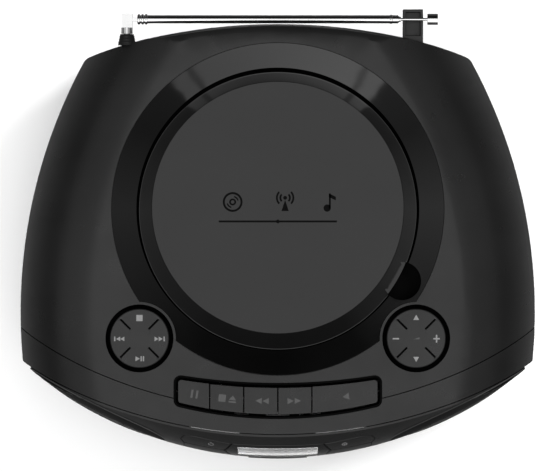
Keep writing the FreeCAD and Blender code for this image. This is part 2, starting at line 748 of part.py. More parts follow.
def lid():
    """The lid's bevelled ring with its hinge arms and clamper cage, the plate in it and the clamper."""
    rim_z = d.lid_rim_z
    lip = 1.4
    floor_z = d.plate_z - 3.6
    skin = fuse("lid_blank", [
        cylinder("lid_rim", d.lid_radius, lip, (0, d.lid_y, rim_z - lip)),
        oblique_cone("lid_slope", (d.plate_radius + 1.4, d.plate_y, floor_z + 1.6),
                     (d.lid_radius, d.lid_y, rim_z - lip)),
        cylinder("lid_floor", d.plate_radius + 1.4, 1.8, (0, d.plate_y, floor_z))])
    bevel = oblique_cone("lid_bevel", (d.plate_radius, d.plate_y, d.plate_z),
                         (d.lid_radius - 0.5, d.lid_y, rim_z + 0.05))
    plate_seat = cylinder("plate_seat", d.plate_radius + 0.05, 10, (0, d.plate_y, floor_z + 1.6))
    scallop = cylinder("scallop", d.notch_radius, 10, (d.notch_x, d.notch_y, rim_z - 1.6))
    clamp_hole = cylinder("clamp_hole", 19.2, 10, (0, d.deck_y, floor_z - 5))
    cage_section = [(15, floor_z - 4), (21, floor_z - 4), (21, floor_z + 0.4), (19.2, floor_z + 0.4),
                    (19.2, floor_z - 2.8), (15, floor_z - 2.8)]
    cage = turned("clamp_cage", cage_section, (0, d.deck_y, 0))
    arms = []
    for side in (-1, 1):
        low_x = side * ARM_X - 3.2
        arms.append(box("riser_%d" % side, (6.4, 6, 7.2), (low_x, 82.5, d.hinge_z - 7)))
        arms.append(box("bar_%d" % side, (6.4, 18.5, 2.3), (low_x, 82.5, d.hinge_z - 7)))
        arms.append(box("post_%d" % side, (6.4, 2.4, 7), (low_x, 98.6, d.hinge_z - 7)))
        arms.append(cylinder("knuckle_%d" % side, 2.6, 6.4, (low_x, d.hinge_y, d.hinge_z), "X"))
    arm_bore = cylinder("arm_bore", 1.25 + d.running, 60, (-30, d.hinge_y, d.hinge_z), "X")
    arm_set = cut("arm_set", fuse("arm_blank", arms), [arm_bore])
    lid_skin = cut("lid_skin", skin, [bevel, plate_seat, scallop, clamp_hole])
    piece(fuse("lid_ring_shape", [lid_skin, cage, arm_set]), "lid_ring")
    piece(cylinder("lid_plate_shape", d.plate_radius, 2.0, (0, d.plate_y, d.plate_z - 2.0)), "lid_plate")
    clamper_section = [(0, 122.6), (13.5, 122.6), (14.4, 123.4), (14.4, 126.6), (18.6, 126.6), (18.6, 128.0),
                       (0, 128.0)]
    piece(turned("disc_clamper_shape", clamper_section, (0, d.deck_y, 0)), "disc_clamper")


def disc_drive():
    piece(turned("spindle_hub_shape", [(0, 108), (1, 108), (1, 116), (3.2, 116), (3.2, 119), (14.5, 119),
                                       (14.5, 120), (7.45, 120), (7.45, 121.2), (6.6, 122), (0, 122)],
                 (0, d.deck_y, 0)), "spindle_hub")
    motor_section = [(1 + d.running, 104), (12.5, 104), (12.5, 114.5), (4, 114.5), (4, 115.4),
                     (1 + d.running, 115.4)]
    piece(turned("spindle_motor_shape", motor_section, (0, d.deck_y, 0)), "spindle_motor")
    rails = [cylinder("rail_%d" % side, 1.5, 66, (side * 15, d.deck_y - 80, 107), "Y") for side in (-1, 1)]
    piece(fuse("sled_rails_shape", rails), "sled_rails")
    sled = box("sled_body", (40, 22, 7), (-20, d.deck_y - 36, 103.5))
    lens = cylinder("sled_lens", 4, 6.8, (0, d.deck_y - 24, 110))
    bores = [cylinder("sled_bore_%d" % side, 1.5 + d.running, 66, (side * 15, d.deck_y - 80, 107), "Y")
             for side in (-1, 1)]
    piece(cut("laser_sled_shape", fuse("sled_blank", [sled, lens]), bores), "laser_sled")


# Control pads and cassette keys

def control_pad(name, side):
    at = (side * d.pad_x, d.pad_y)
    low_z = d.top_z - 4
    bar_x = cylinder(name + "_bar_x", 1.5, 21, (side * d.pad_x - 10.5, d.pad_y, PAD_PIVOT_Z), "X")
    bar_y = cylinder(name + "_bar_y", 1.5, 21, (side * d.pad_x, d.pad_y - 10.5, PAD_PIVOT_Z), "Y")
    block = cylinder(name + "_block", 3.6, 4, (*at, PAD_PIVOT_Z - 2))
    piece(fuse(name + "_pivot_shape", [bar_x, bar_y, block]), name + "_pivot")
    cap = turned(name + "_cap", [(0, low_z), (d.pad_radius, low_z), (d.pad_radius, d.top_z - 0.5),
                                 (d.pad_radius - 0.5, d.top_z), (0, d.top_z)], (*at, 0))
    ears = [centred_box(name + "_ear_%d" % hand, (5, 3, 6.5),
                        (side * d.pad_x, d.pad_y + hand * 8, low_z - 3)) for hand in (-1, 1)]
    bore = cylinder(name + "_bore", 1.5 + d.running, 24, (side * d.pad_x, d.pad_y - 12, PAD_PIVOT_Z), "Y")
    grooves = [groove("%s_groove_%d" % (name, turn), at, turn) for turn in (45, 135, 225, 315)]
    piece(fuse(name + "_shape", [cut(name + "_grooved", cap, grooves),
                                 cut(name + "_ears", fuse(name + "_ear_pair", ears), [bore])]), name)


def groove(name, at, turn):
    """A round-ended slot in a pad's top, running outward between two of its icons."""
    half = 0.6
    depth = 1.0
    start, end = 7.9, 15.0
    run = box(name + "_run", (end - start, 2 * half, 5), (start, -half, 0))
    ends = [cylinder("%s_end_%d" % (name, index), half, 5, (reach, 0, 0))
            for index, reach in enumerate((start, end))]
    slot = fuse(name, [run, *ends])
    low = (at[0].value, at[1].value, (d.top_z - depth).value)
    slot.Placement = FreeCAD.Placement(Vector(*low), Rotation(Vector(0, 0, 1), turn))
    return slot


KEYS = (
    # name, first pitch, last pitch: the play key is twice as wide
    ("key_pause", 0, 1),
    ("key_stop", 1, 2),
    ("key_rewind", 2, 3),
    ("key_forward", 3, 4),
    ("key_play", 4, 6),
)


def key_edges(first, last):
    """The two sides of a key: dividers run at one pitch, and the outer keys end at the frame."""
    low = -d.bay_half_width + d.bay_border if first == 0 else (first - 3) * d.key_pitch + d.key_gap / 2
    high = d.bay_half_width - d.bay_border if last == 6 else (last - 3) * d.key_pitch - d.key_gap / 2
    return low, high


def cassette_keys():
    for name, first, last in KEYS:
        low, high = key_edges(first, last)
        cell = box(name + "_cell", (high - low, 60, 12), (low, -120, d.top_z - 9))
        block = overlap(name + "_block", [key_bay(name + "_bay", d.bay_border, d.top_z - 9, 9), cell])
        middle = (low.value + high.value) / 2
        arm = box(name + "_arm", (6, 20, 4), (middle - 3, -91, d.key_shaft_z - 2))
        knuckle = cylinder(name + "_knuckle", 3, 6, (middle - 3, d.key_shaft_y, d.key_shaft_z), "X")
        bore = cylinder(name + "_bore", d.key_shaft_radius + d.running, 10,
                        (middle - 5, d.key_shaft_y, d.key_shaft_z), "X")
        piece(cut(name + "_shape", fuse(name + "_blank", [block, arm, knuckle]), [bore]), name)
    shaft = cylinder("key_shaft_shape", d.key_shaft_radius, 115.4, (-57.7, d.key_shaft_y, d.key_shaft_z), "X")
    piece(shaft, "key_shaft")
    walls = cut("key_frame_walls", key_bay("frame_outside", 0.1, 122, 16.5),
                [key_bay("frame_inside", 1.2, 118, 30)])
    arm_room = box("arm_room", (112, 12, 14), (-56, -92, 121))
    shaft_ears = []
    for hand in (-1, 1):
        low_x = hand * 58.5 - 0.8
        shaft_ears.append(box("shaft_ear_%d" % hand, (1.6, 18, 8), (low_x, -87, d.key_shaft_z - 4)))
        shaft_ears.append(cylinder("shaft_eye_%d" % hand, 4, 1.6, (low_x, d.key_shaft_y, d.key_shaft_z), "X"))
    piece(fuse("key_frame_shape", [cut("frame_cut", walls, [arm_room]), *shaft_ears]), "key_frame")


# Cassette mechanism

FLYWHEEL_RADIUS = 17.0
PULLEY_RADIUS = 5.0
REEL_X = 21.25
REEL_Z = 56
CAPSTAN_X = 14
CAPSTAN_Z = 74
MOTOR_X = -34
MOTOR_Z = 30
BELT_LOW_Y = -93
BELT_WIDTH = 3
BELT_THICKNESS = 1.0


def cassette_mechanism():
    plate = box("chassis_plate", (112, 2, 78), (-56, -103, 14))
    posts = [cylinder("post_%d" % hand, 3, 12, (hand * 50, -101, 80), "Y") for hand in (-1, 1)]
    holes = [cylinder("reel_hole_%d" % hand, 2.3, 10, (hand * REEL_X, -107, REEL_Z), "Y") for hand in (-1, 1)]
    holes.append(cylinder("capstan_hole", 1.35, 10, (CAPSTAN_X, -107, CAPSTAN_Z), "Y"))
    piece(cut("chassis_shape", fuse("chassis_blank", [plate, *posts]), holes), "cassette_chassis")
    for hand, label in ((-1, "supply_reel"), (1, "takeup_reel")):
        x = hand * REEL_X
        hub = [cylinder(label + "_shaft", 2.2, 8, (x, -106.4, REEL_Z), "Y"),
               cylinder(label + "_disc", 13, 2.5, (x, -98.4, REEL_Z), "Y"),
               cylinder(label + "_nose", 4.2, 2.2, (x, -107, REEL_Z), "Y")]
        piece(fuse(label + "_shape", hub), label)
    flywheel = [cylinder("flywheel_disc", FLYWHEEL_RADIUS, 5, (CAPSTAN_X, -94, CAPSTAN_Z), "Y"),
                cylinder("capstan", 1.25, 14, (CAPSTAN_X, -107.5, CAPSTAN_Z), "Y")]
    piece(fuse("flywheel_shape", flywheel), "capstan_flywheel")
    piece(box("tape_head_shape", (14, 4.4, 9), (-7, -107.6, 82)), "tape_head")
    piece(cylinder("pinch_roller_shape", 5, 3.6, (CAPSTAN_X, -107.4, CAPSTAN_Z - 7), "Y"), "pinch_roller")
    motor = cut("tape_motor_shape", cylinder("tape_motor_can", 14, 22, (MOTOR_X, -85, MOTOR_Z), "Y"),
                [cylinder("tape_motor_bore", 1 + d.running, 30, (MOTOR_X, -90, MOTOR_Z), "Y")])
    piece(motor, "tape_motor")
    pulley = [cylinder("pulley_disc", PULLEY_RADIUS, 4, (MOTOR_X, -93.5, MOTOR_Z), "Y"),
              cylinder("pulley_shaft", 1, 14, (MOTOR_X, -90, MOTOR_Z), "Y")]
    piece(fuse("motor_pulley_shape", pulley), "motor_pulley")


def drive_belt():
    """A flat loop around the flywheel and the motor pulley, on their outer tangents."""
    big, small = FLYWHEEL_RADIUS + 0.15, PULLEY_RADIUS + 0.15
    capstan = Vector(CAPSTAN_X, BELT_LOW_Y, CAPSTAN_Z)
    motor = Vector(MOTOR_X, BELT_LOW_Y, MOTOR_Z)
    span = (motor - capstan).Length
    turn = Rotation(Vector(1, 0, 0), motor - capstan)
    lean = math.asin((big - small) / span)

    def loop(name, extra):
        """Both pulleys' discs and the web between their tangents, all grown by extra."""
        discs = [cylinder(name + "_big", big + extra, BELT_WIDTH, tuple(capstan), "Y"),
                 cylinder(name + "_small", small + extra, BELT_WIDTH, tuple(motor), "Y")]
        points = []
        for sign, ends in ((-1, ((0.0, big), (span, small))), (1, ((span, small), (0.0, big)))):
            for middle, radius in ends:
                reach = radius + extra
                points.append(Vector(middle + reach * math.sin(lean), 0, sign * reach * math.cos(lean)))
        web = doc.addObject("Part::Feature", name + "_web")
        face = Part.Face(Part.makePolygon(points + points[:1]))
        web.Shape = face.extrude(Vector(0, BELT_WIDTH, 0))
        web.Placement = FreeCAD.Placement(capstan, turn)
        return fuse(name, [*discs, web])

    belt = cut("drive_belt_shape", loop("belt_outside", BELT_THICKNESS), [loop("belt_inside", 0.0)])
    piece(belt, "drive_belt")


# Antenna

TUBE_START = -83.0
TUBE_END = 66.2


def antenna():
    """The socket on the case, the knuckle that swivels in it, and the telescope that lies along X."""
    base_y = 108.0
    socket = cone("socket_cone", 5.2, 3.9, 6.4, (d.antenna_x, base_y + 1, d.antenna_z), "Y")
    ribs = [cylinder("socket_rib_%d" % index, 5.0 - 0.35 * index, 0.8,
                     (d.antenna_x, base_y + 2.2 + 1.7 * index, d.antenna_z), "Y") for index in range(3)]
    seat = cut("socket_seat", fuse("socket_blank", [socket, *ribs]), [outer])
    shaft_bore = cylinder("socket_bore", 2 + d.running, 20, (d.antenna_x, 100, d.antenna_z), "Y")
    piece(cut("antenna_socket_shape", seat, [shaft_bore]), "antenna_socket")
    turret = cylinder("turret", 3.3, 3.6, (d.antenna_x, 115.7, d.antenna_z), "Y")
    shaft = cylinder("turret_shaft", 2, 5, (d.antenna_x, 111.0, d.antenna_z), "Y")
    cheeks = [centred_box("cheek_%d" % hand, (6.4, 8.2, 1.4), (d.antenna_x, 123.2, d.antenna_z + hand * 2.5))
              for hand in (-1, 1)]
    pivot = cylinder("elbow_pin", 1.1, 6.4, (d.antenna_x, d.antenna_y, d.antenna_z - 3.2))
    piece(fuse("antenna_knuckle_shape", [turret, shaft, *cheeks, pivot]), "antenna_knuckle")
    eye = cylinder("elbow_eye", 2.9, 3, (d.antenna_x, d.antenna_y, d.antenna_z - 1.5))
    neck = box("elbow_neck", (8, 2.8, 2.8), (d.antenna_x, d.antenna_y - 1.4, d.antenna_z - 1.4))
    tube_at = (TUBE_START + 3.2, d.antenna_y, d.antenna_z)
    long_tube = tube("long_tube", 2.35, 2.0, TUBE_END - TUBE_START, tube_at, "X")
    collar = cylinder("collar", 2.35, 4.4, (TUBE_START + 2, d.antenna_y, d.antenna_z), "X")
    eye_bore = cylinder("eye_bore", 1.1 + d.running, 10, (d.antenna_x, d.antenna_y, d.antenna_z - 5))
    outer_blank = fuse("outer_tube_blank", [eye, neck, long_tube, collar])
    piece(cut("antenna_tube_outer_shape", outer_blank, [eye_bore]), "antenna_tube_outer")
    piece(tube("antenna_tube_middle_shape", 1.95, 1.55, 146, (-76, d.antenna_y, d.antenna_z), "X"),
          "antenna_tube_middle")
    piece(tube("antenna_tube_inner_shape", 1.5, 0.85, 147, (-76, d.antenna_y, d.antenna_z), "X"),
          "antenna_tube_inner")
    rod = fuse("antenna_rod_shape", [cylinder("rod", 0.8, 162, (-75.5, d.antenna_y, d.antenna_z), "X"),
                                     cylinder("tip", 3.2, 6, (86.3, d.antenna_y, d.antenna_z), "X")])
    piece(rod, "antenna_rod")


# Power, boards, feet and screws

def electronics():
    """The main board, display module, transformer, mains inlet and audio jack."""
    piece(box("main_board_shape", (150, 84, 1.6), (-75, -20, 88)), "main_board")
    piece(box("lcd_shape", (44, 4, 14), (-22, -116.4, 114)), "lcd_module")
    core = box("transformer_core", (30, 22, 36), (-110, 46, 40))
    coil = box("transformer_coil", (22, 34, 24), (-106, 40, 46))
    piece(fuse("transformer_shape", [core, coil]), "transformer")
    inlet = cut("ac_inlet_shape", box("inlet_block", (20.4, 24, 12.4), (-101.7, 82, 22.3)),
                [box("inlet_socket", (14, 18, 7.5), (-98.5, 89, 24.75))])
    piece(inlet, "ac_inlet")
    jack = cut("jack_shape", cylinder("jack_barrel", 3.0, 16, (100, 90, 60), "Y"),
               [cylinder("jack_bore", 1.8, 14.5, (100, 92, 60), "Y")])
    piece(jack, "audio_jack")


def feet_and_screws():
    feet = [cylinder("foot_%d" % index, 9, 3, (x, y, 0)) for index, (x, y) in enumerate(FEET)]
    piece(fuse("rubber_feet_shape", feet), "rubber_feet")
    screws = []
    for index, (x, y) in enumerate(SCREWS):
        screws.append(cylinder("screw_head_%d" % index, 3, 2, (x, y, 3.4)))
        screws.append(cylinder("screw_shank_%d" % index, 1.5, 14, (x, y, 5.4)))
    piece(fuse("cabinet_screws_shape", screws), "cabinet_screws")


casing()
speakers()
deck_ring()
disc_tray()
lid()
disc_drive()
control_pad("left_pad", -1)
control_pad("right_pad", 1)
cassette_keys()
cassette_mechanism()
drive_belt()
antenna()
electronics()
feet_and_screws()
doc.recompute()


def failed_items():
    return [item.Name for item in doc.Objects if {"Invalid", "Error"} & set(item.State)]


def check_pieces():
    """Stops before anything is written if a feature failed or a piece is empty or not valid."""
    problems = failed_items()
    for item in pieces:
        if item.Shape.isNull() or not item.Shape.isValid() or not item.Shape.Solids:
            problems.append(item.Label)
    if problems:
        raise RuntimeError("failed: " + ", ".join(problems))


check_pieces()
os.makedirs("parts", exist_ok=True)
for item in pieces:
    print(item.Label, len(item.Shape.Solids), "solids", round(item.Shape.Volume), "mm3")
    item.Shape.exportStep("parts/%s.step" % item.Label)
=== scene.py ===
"""The boombox's looks: node materials, fine shapes, floor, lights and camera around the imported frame.

Lengths are in metres, in the frame of the CAD model. Sizes written as a number times MM are millimetres.
"""
import json
import math

import bmesh
import bpy
from mathutils import Matrix, Vector
from mathutils.bvhtree import BVHTree

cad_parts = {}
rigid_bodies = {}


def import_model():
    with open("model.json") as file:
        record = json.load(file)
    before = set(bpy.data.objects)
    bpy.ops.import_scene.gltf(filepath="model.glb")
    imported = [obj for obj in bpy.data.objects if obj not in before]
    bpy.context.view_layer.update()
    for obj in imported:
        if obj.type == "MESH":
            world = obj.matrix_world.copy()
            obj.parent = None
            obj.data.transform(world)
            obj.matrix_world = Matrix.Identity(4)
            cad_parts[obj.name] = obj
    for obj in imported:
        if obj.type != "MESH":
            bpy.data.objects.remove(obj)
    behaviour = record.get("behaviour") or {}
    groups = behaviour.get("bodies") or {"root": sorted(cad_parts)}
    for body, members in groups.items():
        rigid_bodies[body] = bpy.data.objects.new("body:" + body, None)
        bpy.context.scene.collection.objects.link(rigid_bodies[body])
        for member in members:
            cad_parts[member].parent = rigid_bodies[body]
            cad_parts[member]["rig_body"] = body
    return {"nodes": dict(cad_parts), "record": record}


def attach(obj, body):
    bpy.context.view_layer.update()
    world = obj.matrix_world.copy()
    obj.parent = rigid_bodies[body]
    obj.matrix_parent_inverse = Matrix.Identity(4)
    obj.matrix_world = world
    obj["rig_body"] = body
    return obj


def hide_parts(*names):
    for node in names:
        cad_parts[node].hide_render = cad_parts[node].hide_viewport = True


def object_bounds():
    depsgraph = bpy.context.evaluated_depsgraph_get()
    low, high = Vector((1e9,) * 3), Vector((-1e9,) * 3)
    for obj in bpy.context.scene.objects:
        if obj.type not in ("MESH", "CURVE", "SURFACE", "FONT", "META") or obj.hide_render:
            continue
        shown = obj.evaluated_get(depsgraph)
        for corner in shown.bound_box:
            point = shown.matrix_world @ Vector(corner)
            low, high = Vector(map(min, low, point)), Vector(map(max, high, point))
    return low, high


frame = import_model()
CAD_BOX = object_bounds()
NODES = frame["nodes"]
MM = 0.001


# Materials

class Shader:
    """A node material while it is built: its principled surface, and noises in the object's own space."""

    def __init__(self, name, colour, roughness, **sockets):
        self.material = bpy.data.materials.new(name)
        self.material.use_nodes = True
        self.tree = self.material.node_tree
        self.surface = self.tree.nodes["Principled BSDF"]
        self.where = self.add("ShaderNodeTexCoord").outputs["Object"]
        self.colour = colour
        self.roughness = roughness
        self.surface.inputs["Base Color"].default_value = (*colour, 1)
        self.surface.inputs["Roughness"].default_value = roughness
        for socket, value in sockets.items():
            self.surface.inputs[socket.replace("_", " ")].default_value = value

    def add(self, kind, **inputs):
        node = self.tree.nodes.new(kind)
        for socket, value in inputs.items():
            node.inputs[socket.replace("_", " ")].default_value = value
        return node

    def link(self, output, target):
        self.tree.links.new(output, target)

    def stretched(self, scale):
        """The object's coordinates, scaled by a different amount along each axis."""
        mapping = self.add("ShaderNodeMapping", Scale=scale)
        self.link(self.where, mapping.inputs["Vector"])
        return mapping.outputs["Vector"]

    def noise(self, size, detail=2.0, where=None):
        """A cloudy pattern whose lumps are about one size across."""
        node = self.add("ShaderNodeTexNoise", Scale=1 / size, Detail=detail)
        self.link(where or self.where, node.inputs["Vector"])
        return node.outputs["Fac"]

    def cells(self, size):
        node = self.add("ShaderNodeTexVoronoi", Scale=1 / size)
        self.link(self.where, node.inputs["Vector"])
        return node.outputs["Distance"]

    def ranged(self, source, low, high, to_low, to_high):
        node = self.add("ShaderNodeMapRange")
        for index, value in enumerate((low, high, to_low, to_high), start=1):
            node.inputs[index].default_value = value
        self.link(source, node.inputs[0])
        return node.outputs[0]

    def tones(self, source, start, end):
        """Colours along a source: start and end are each a place and the base colour's strength there."""
        ramp = self.add("ShaderNodeValToRGB")
        for element, (place, strength) in zip(ramp.color_ramp.elements, (start, end)):
            element.position = place
            element.color = (*(min(1.0, part * strength) for part in self.colour), 1)
        self.link(source, ramp.inputs["Fac"])
        self.link(ramp.outputs["Color"], self.surface.inputs["Base Color"])
        return self

    def patchy(self, source, spread):
        """Roughness that wanders about its middle value."""
        low, high = self.roughness - spread, self.roughness + spread
        self.link(self.ranged(source, 0.3, 0.7, low, high), self.surface.inputs["Roughness"])
        return self

    def raised(self, source, height, strength=1.0):
        """Adds a bump, over any bump that is there already."""
        bump = self.add("ShaderNodeBump", Distance=height, Strength=strength)
        self.link(source, bump.inputs["Height"])
        target = self.surface.inputs["Normal"]
        if target.is_linked:
            self.link(target.links[0].from_socket, bump.inputs["Normal"])
        self.link(bump.outputs["Normal"], target)
        return self


def moulded(name, colour, roughness, grain, relief, tone=0.18, wear=0.035, **sockets):
    """Injection-moulded plastic: a fine spark-eroded grain, faint flow marks and handling wear."""
    shader = Shader(name, colour, roughness, **sockets)
    flow = shader.noise(60 * MM, 3.0, shader.stretched((1.0, 1.6, 1.0)))
    shader.tones(flow, (0.3, 1 - tone), (0.7, 1 + tone))
    shader.patchy(shader.noise(14 * MM, 5.0), wear)
    shader.raised(shader.noise(grain, 3.0), relief)
    return shader.material


def brushed(name, colour, roughness, along, relief):
    """Drawn or turned metal: streaks that run along one axis."""
    shader = Shader(name, colour, roughness, Metallic=1.0)
    streaks = shader.noise(0.6 * MM, 4.0, shader.stretched(along))
    shader.tones(shader.noise(20 * MM, 3.0), (0.3, 0.9), (0.7, 1.05))
    shader.patchy(streaks, 0.05)
    shader.raised(streaks, relief)
    return shader.material


def grey(value):
    return (value, value, value)


def printed(name, value, **sockets):
    """Pad-printed ink: slightly uneven cover over the grain of the plastic."""
    shader = Shader(name, grey(value), 0.55, **sockets)
    shader.tones(shader.noise(0.7 * MM, 4.0), (0.25, 0.82), (0.75, 1.08))
    shader.patchy(shader.noise(0.4 * MM, 2.0), 0.08)
    shader.raised(shader.noise(0.25 * MM, 2.0), 0.01 * MM)
    return shader.material


def clear_plastic(name, tint, roughness, transmission):
    """Clear or smoked acrylic with fine wiping scratches."""
    shader = Shader(name, tint, roughness, Transmission_Weight=transmission, IOR=1.49)
    scratches = shader.noise(0.5 * MM, 3.0, shader.stretched((0.06, 1.0, 1.0)))
    shader.tones(shader.noise(30 * MM, 2.0), (0.3, 0.95), (0.7, 1.0))
    shader.patchy(scratches, 0.02)
    shader.raised(scratches, 0.0006 * MM)
    return shader.material


def woven_paper():
    shader = Shader("cone_paper", grey(0.022), 0.8)
    shader.tones(shader.noise(1.5 * MM, 5.0), (0.3, 0.7), (0.7, 1.4))
    shader.patchy(shader.noise(3 * MM, 3.0), 0.06)
    shader.raised(shader.cells(0.9 * MM), 0.12 * MM)
    return shader.material


def rubber():
    shader = Shader("rubber", grey(0.012), 0.75)
    shader.tones(shader.noise(4 * MM, 4.0), (0.3, 0.75), (0.7, 1.5))
    shader.patchy(shader.noise(2 * MM, 3.0), 0.07)
    shader.raised(shader.noise(0.5 * MM, 3.0), 0.06 * MM)
    return shader.material


def circuit_board():
    shader = Shader("circuit_board", (0.012, 0.11, 0.04), 0.4)
    shader.tones(shader.noise(3 * MM, 1.0, shader.stretched((1.0, 0.15, 1.0))), (0.45, 0.7), (0.55, 1.35))
    shader.patchy(shader.noise(5 * MM, 3.0), 0.06)
    shader.raised(shader.noise(1 * MM, 1.0), 0.05 * MM)
    return shader.material


def laminated_steel():
    shader = Shader("laminations", grey(0.18), 0.45, Metallic=0.9)
    layers = shader.noise(1.2 * MM, 1.0, shader.stretched((0.02, 1.0, 0.02)))
    shader.tones(layers, (0.4, 0.6), (0.6, 1.3))
    shader.patchy(shader.noise(3 * MM, 3.0), 0.06)
    shader.raised(layers, 0.1 * MM)
    return shader.material


def liquid_crystal():
    """The display's reflective back: a silver film with a fine sparkle."""
    shader = Shader("liquid_crystal", grey(0.045), 0.5, Metallic=0.2)
    shader.tones(shader.noise(0.25 * MM, 2.0), (0.3, 0.96), (0.7, 1.03))
    shader.patchy(shader.noise(4 * MM, 2.0), 0.05)
    shader.raised(shader.noise(0.3 * MM, 2.0), 0.0005 * MM)
    return shader.material


BLACK = 0.0052
FINISHES = {
    "casing": moulded("satin_black", grey(BLACK), 0.30, 0.32 * MM, 0.010 * MM),
    "cabinet": moulded("textured_black", grey(0.007), 0.42, 0.55 * MM, 0.05 * MM),
    "deck_gloss": moulded("deck_black", grey(0.0012), 0.05, 0.4 * MM, 0.0003 * MM, wear=0.012),
    "lid_gloss": moulded("lid_black", grey(0.003), 0.07, 0.4 * MM, 0.0006 * MM, wear=0.015),
    "control": moulded("control_black", grey(0.006), 0.30, 0.3 * MM, 0.012 * MM),
    "dark_frame": moulded("recess_black", grey(0.003), 0.5, 0.5 * MM, 0.03 * MM),
    "grille": moulded("grille_black", grey(0.006), 0.42, 0.3 * MM, 0.015 * MM),
    "display_panel": moulded("display_black", grey(0.004), 0.12, 0.5 * MM, 0.002 * MM),
    "display_lens": clear_plastic("lens_acrylic", grey(0.93), 0.08, 0.95),
    "display_cell": liquid_crystal(),
    "window": clear_plastic("smoked_acrylic", grey(0.34), 0.06, 0.92),
    "inner_plastic": moulded("inner_plastic", grey(0.022), 0.5, 0.6 * MM, 0.04 * MM, tone=0.25),
    "steel": brushed("steel", grey(0.42), 0.32, (1.0, 0.04, 1.0), 0.01 * MM),
    "chrome": brushed("chrome", grey(0.86), 0.13, (0.03, 1.0, 1.0), 0.0015 * MM),
    "motor_steel": brushed("motor_steel", grey(0.36), 0.36, (1.0, 1.0, 0.05), 0.01 * MM),
    "cone_paper": woven_paper(),
    "rubber": rubber(),
    "board": circuit_board(),
    "transformer": laminated_steel(),
    "reel_white": moulded("reel_white", grey(0.62), 0.42, 0.5 * MM, 0.02 * MM, tone=0.05),
}
# Painted shade: a near-black, nearly unglossy paint for faces deep in wells and gaps.
PAINTED_RECESS_SHADE = moulded("painted_recess_shade", grey(0.0012), 0.85, 0.5 * MM, 0.02 * MM, Specular_IOR_Level=0.06)
INK = printed("light_ink", 0.14)
DIM_INK = printed("dim_ink", 0.042)
SHADOW_INK = printed("shadow_ink", 0.0015, Specular_IOR_Level=0.06)
LABEL = printed("label_film", 0.34)
# Painted shade: near-black with little gloss, for the hoods over the grilles.
HOOD_SHADE_PAINT = moulded("hood_painted_shade", grey(0.0015), 0.6, 0.9 * MM, 0.08 * MM, Specular_IOR_Level=0.2)
# Painted highlight: a light grey for the thin strip along each hood, standing for an edge that catches the
# light.
HOOD_HIGHLIGHT_PAINT = moulded("hood_painted_highlight", grey(0.03), 0.35, 0.3 * MM, 0.006 * MM)


# CAD nodes: each takes its slot's finish, and gets moulded edges

EDGE_SIZES = {
    # how far each moulded edge is eased; pieces that aren't listed keep the edge they were cut with
    "top_cover": 0.35, "front_bezel": 0.3, "front_fascia": 0.35, "rear_cabinet": 0.3, "battery_door": 0.4,
    "deck_ring": 0.25, "lid_ring": 0.25, "lid_plate": 0.2, "left_pad": 0.15, "right_pad": 0.15,
    "cassette_door": 0.4, "cassette_window": 0.3, "display_panel": 0.3, "display_lens": 0.2,
    "left_upper_button": 0.4, "left_lower_button": 0.4, "right_upper_button": 0.4, "right_lower_button": 0.4,
    "antenna_socket": 0.25, "antenna_knuckle": 0.35, "antenna_tube_outer": 0.2, "antenna_tube_middle": 0.15,
    "antenna_tube_inner": 0.1, "antenna_rod": 0.2, "antenna_rest": 0.35, "key_pause": 0.35, "key_stop": 0.35,
    "key_rewind": 0.35, "key_forward": 0.35, "key_play": 0.35, "key_frame": 0.2, "rubber_feet": 0.5,
    "cabinet_screws": 0.2, "ac_inlet": 0.4, "audio_jack": 0.2, "disc_tray": 0.3, "disc_clamper": 0.3,
    "spindle_hub": 0.2, "laser_sled": 0.4, "cassette_chassis": 0.2, "supply_reel": 0.2, "takeup_reel": 0.2,
    "transformer": 0.4, "tape_head": 0.3,
}


def ease_edges(item, width):
    """Joins the mesh's split corners, rounds its hard edges and shades it by the area of its faces."""
    mesh = item.data
    if "custom_normal" in mesh.attributes:
        mesh.attributes.remove(mesh.attributes["custom_normal"])
    mesh.polygons.foreach_set("use_smooth", [True] * len(mesh.polygons))
    weld = item.modifiers.new("weld", "WELD")
    weld.merge_threshold = 0.002 * MM
    if width:
        bevel = item.modifiers.new("eased_edges", "BEVEL")
        bevel.width = width * MM
        bevel.segments = 2
        bevel.limit_method = "ANGLE"
        bevel.angle_limit = math.radians(32)
    normals = item.modifiers.new("face_area_shading", "WEIGHTED_NORMAL")
    normals.weight = 100


def dress_nodes():
    for row in frame["record"]["subparts"]:
        item = NODES[row["node"]]
        item.data.materials.clear()
        item.data.materials.append(FINISHES[row["material_slot"]])
        ease_edges(item, EDGE_SIZES.get(row["node"], 0))


def darken(node, gets_painted_shade):
    """Paints the faces that a test picks near-black, rough and nearly unglossy: painted shade, as if a deep
    recess were unlit.
    """
    mesh = NODES[node].data
    mesh.materials.append(PAINTED_RECESS_SHADE)
    shade_index = len(mesh.materials) - 1
    for face in mesh.polygons:
        if gets_painted_shade(face.center / MM, face.normal):
            face.material_index = shade_index


PAD_X = 79.5
PAD_Y = -59.8
WELL_RADIUS = 20.0
WELL_LOW_Z = 110
DECK_TOP = CAD_BOX[1].z / MM
DECK_MIDDLE_Y = 14.5
RECESS_DEPTH = 3.0
TRAY_RADIUS = 66
LID_ARM_X = 22
LID_ARM_Y = 80
LID_ARM_TOP = 132


def in_a_well(centre):
    return math.hypot(abs(centre.x) - PAD_X, centre.y - PAD_Y) < WELL_RADIUS


def outside_the_tray(centre):
    return math.hypot(centre.x, centre.y - DECK_MIDDLE_Y) > TRAY_RADIUS


def on_a_lid_arm(centre):
    return centre.y > LID_ARM_Y and abs(centre.x) < LID_ARM_X and centre.z < LID_ARM_TOP


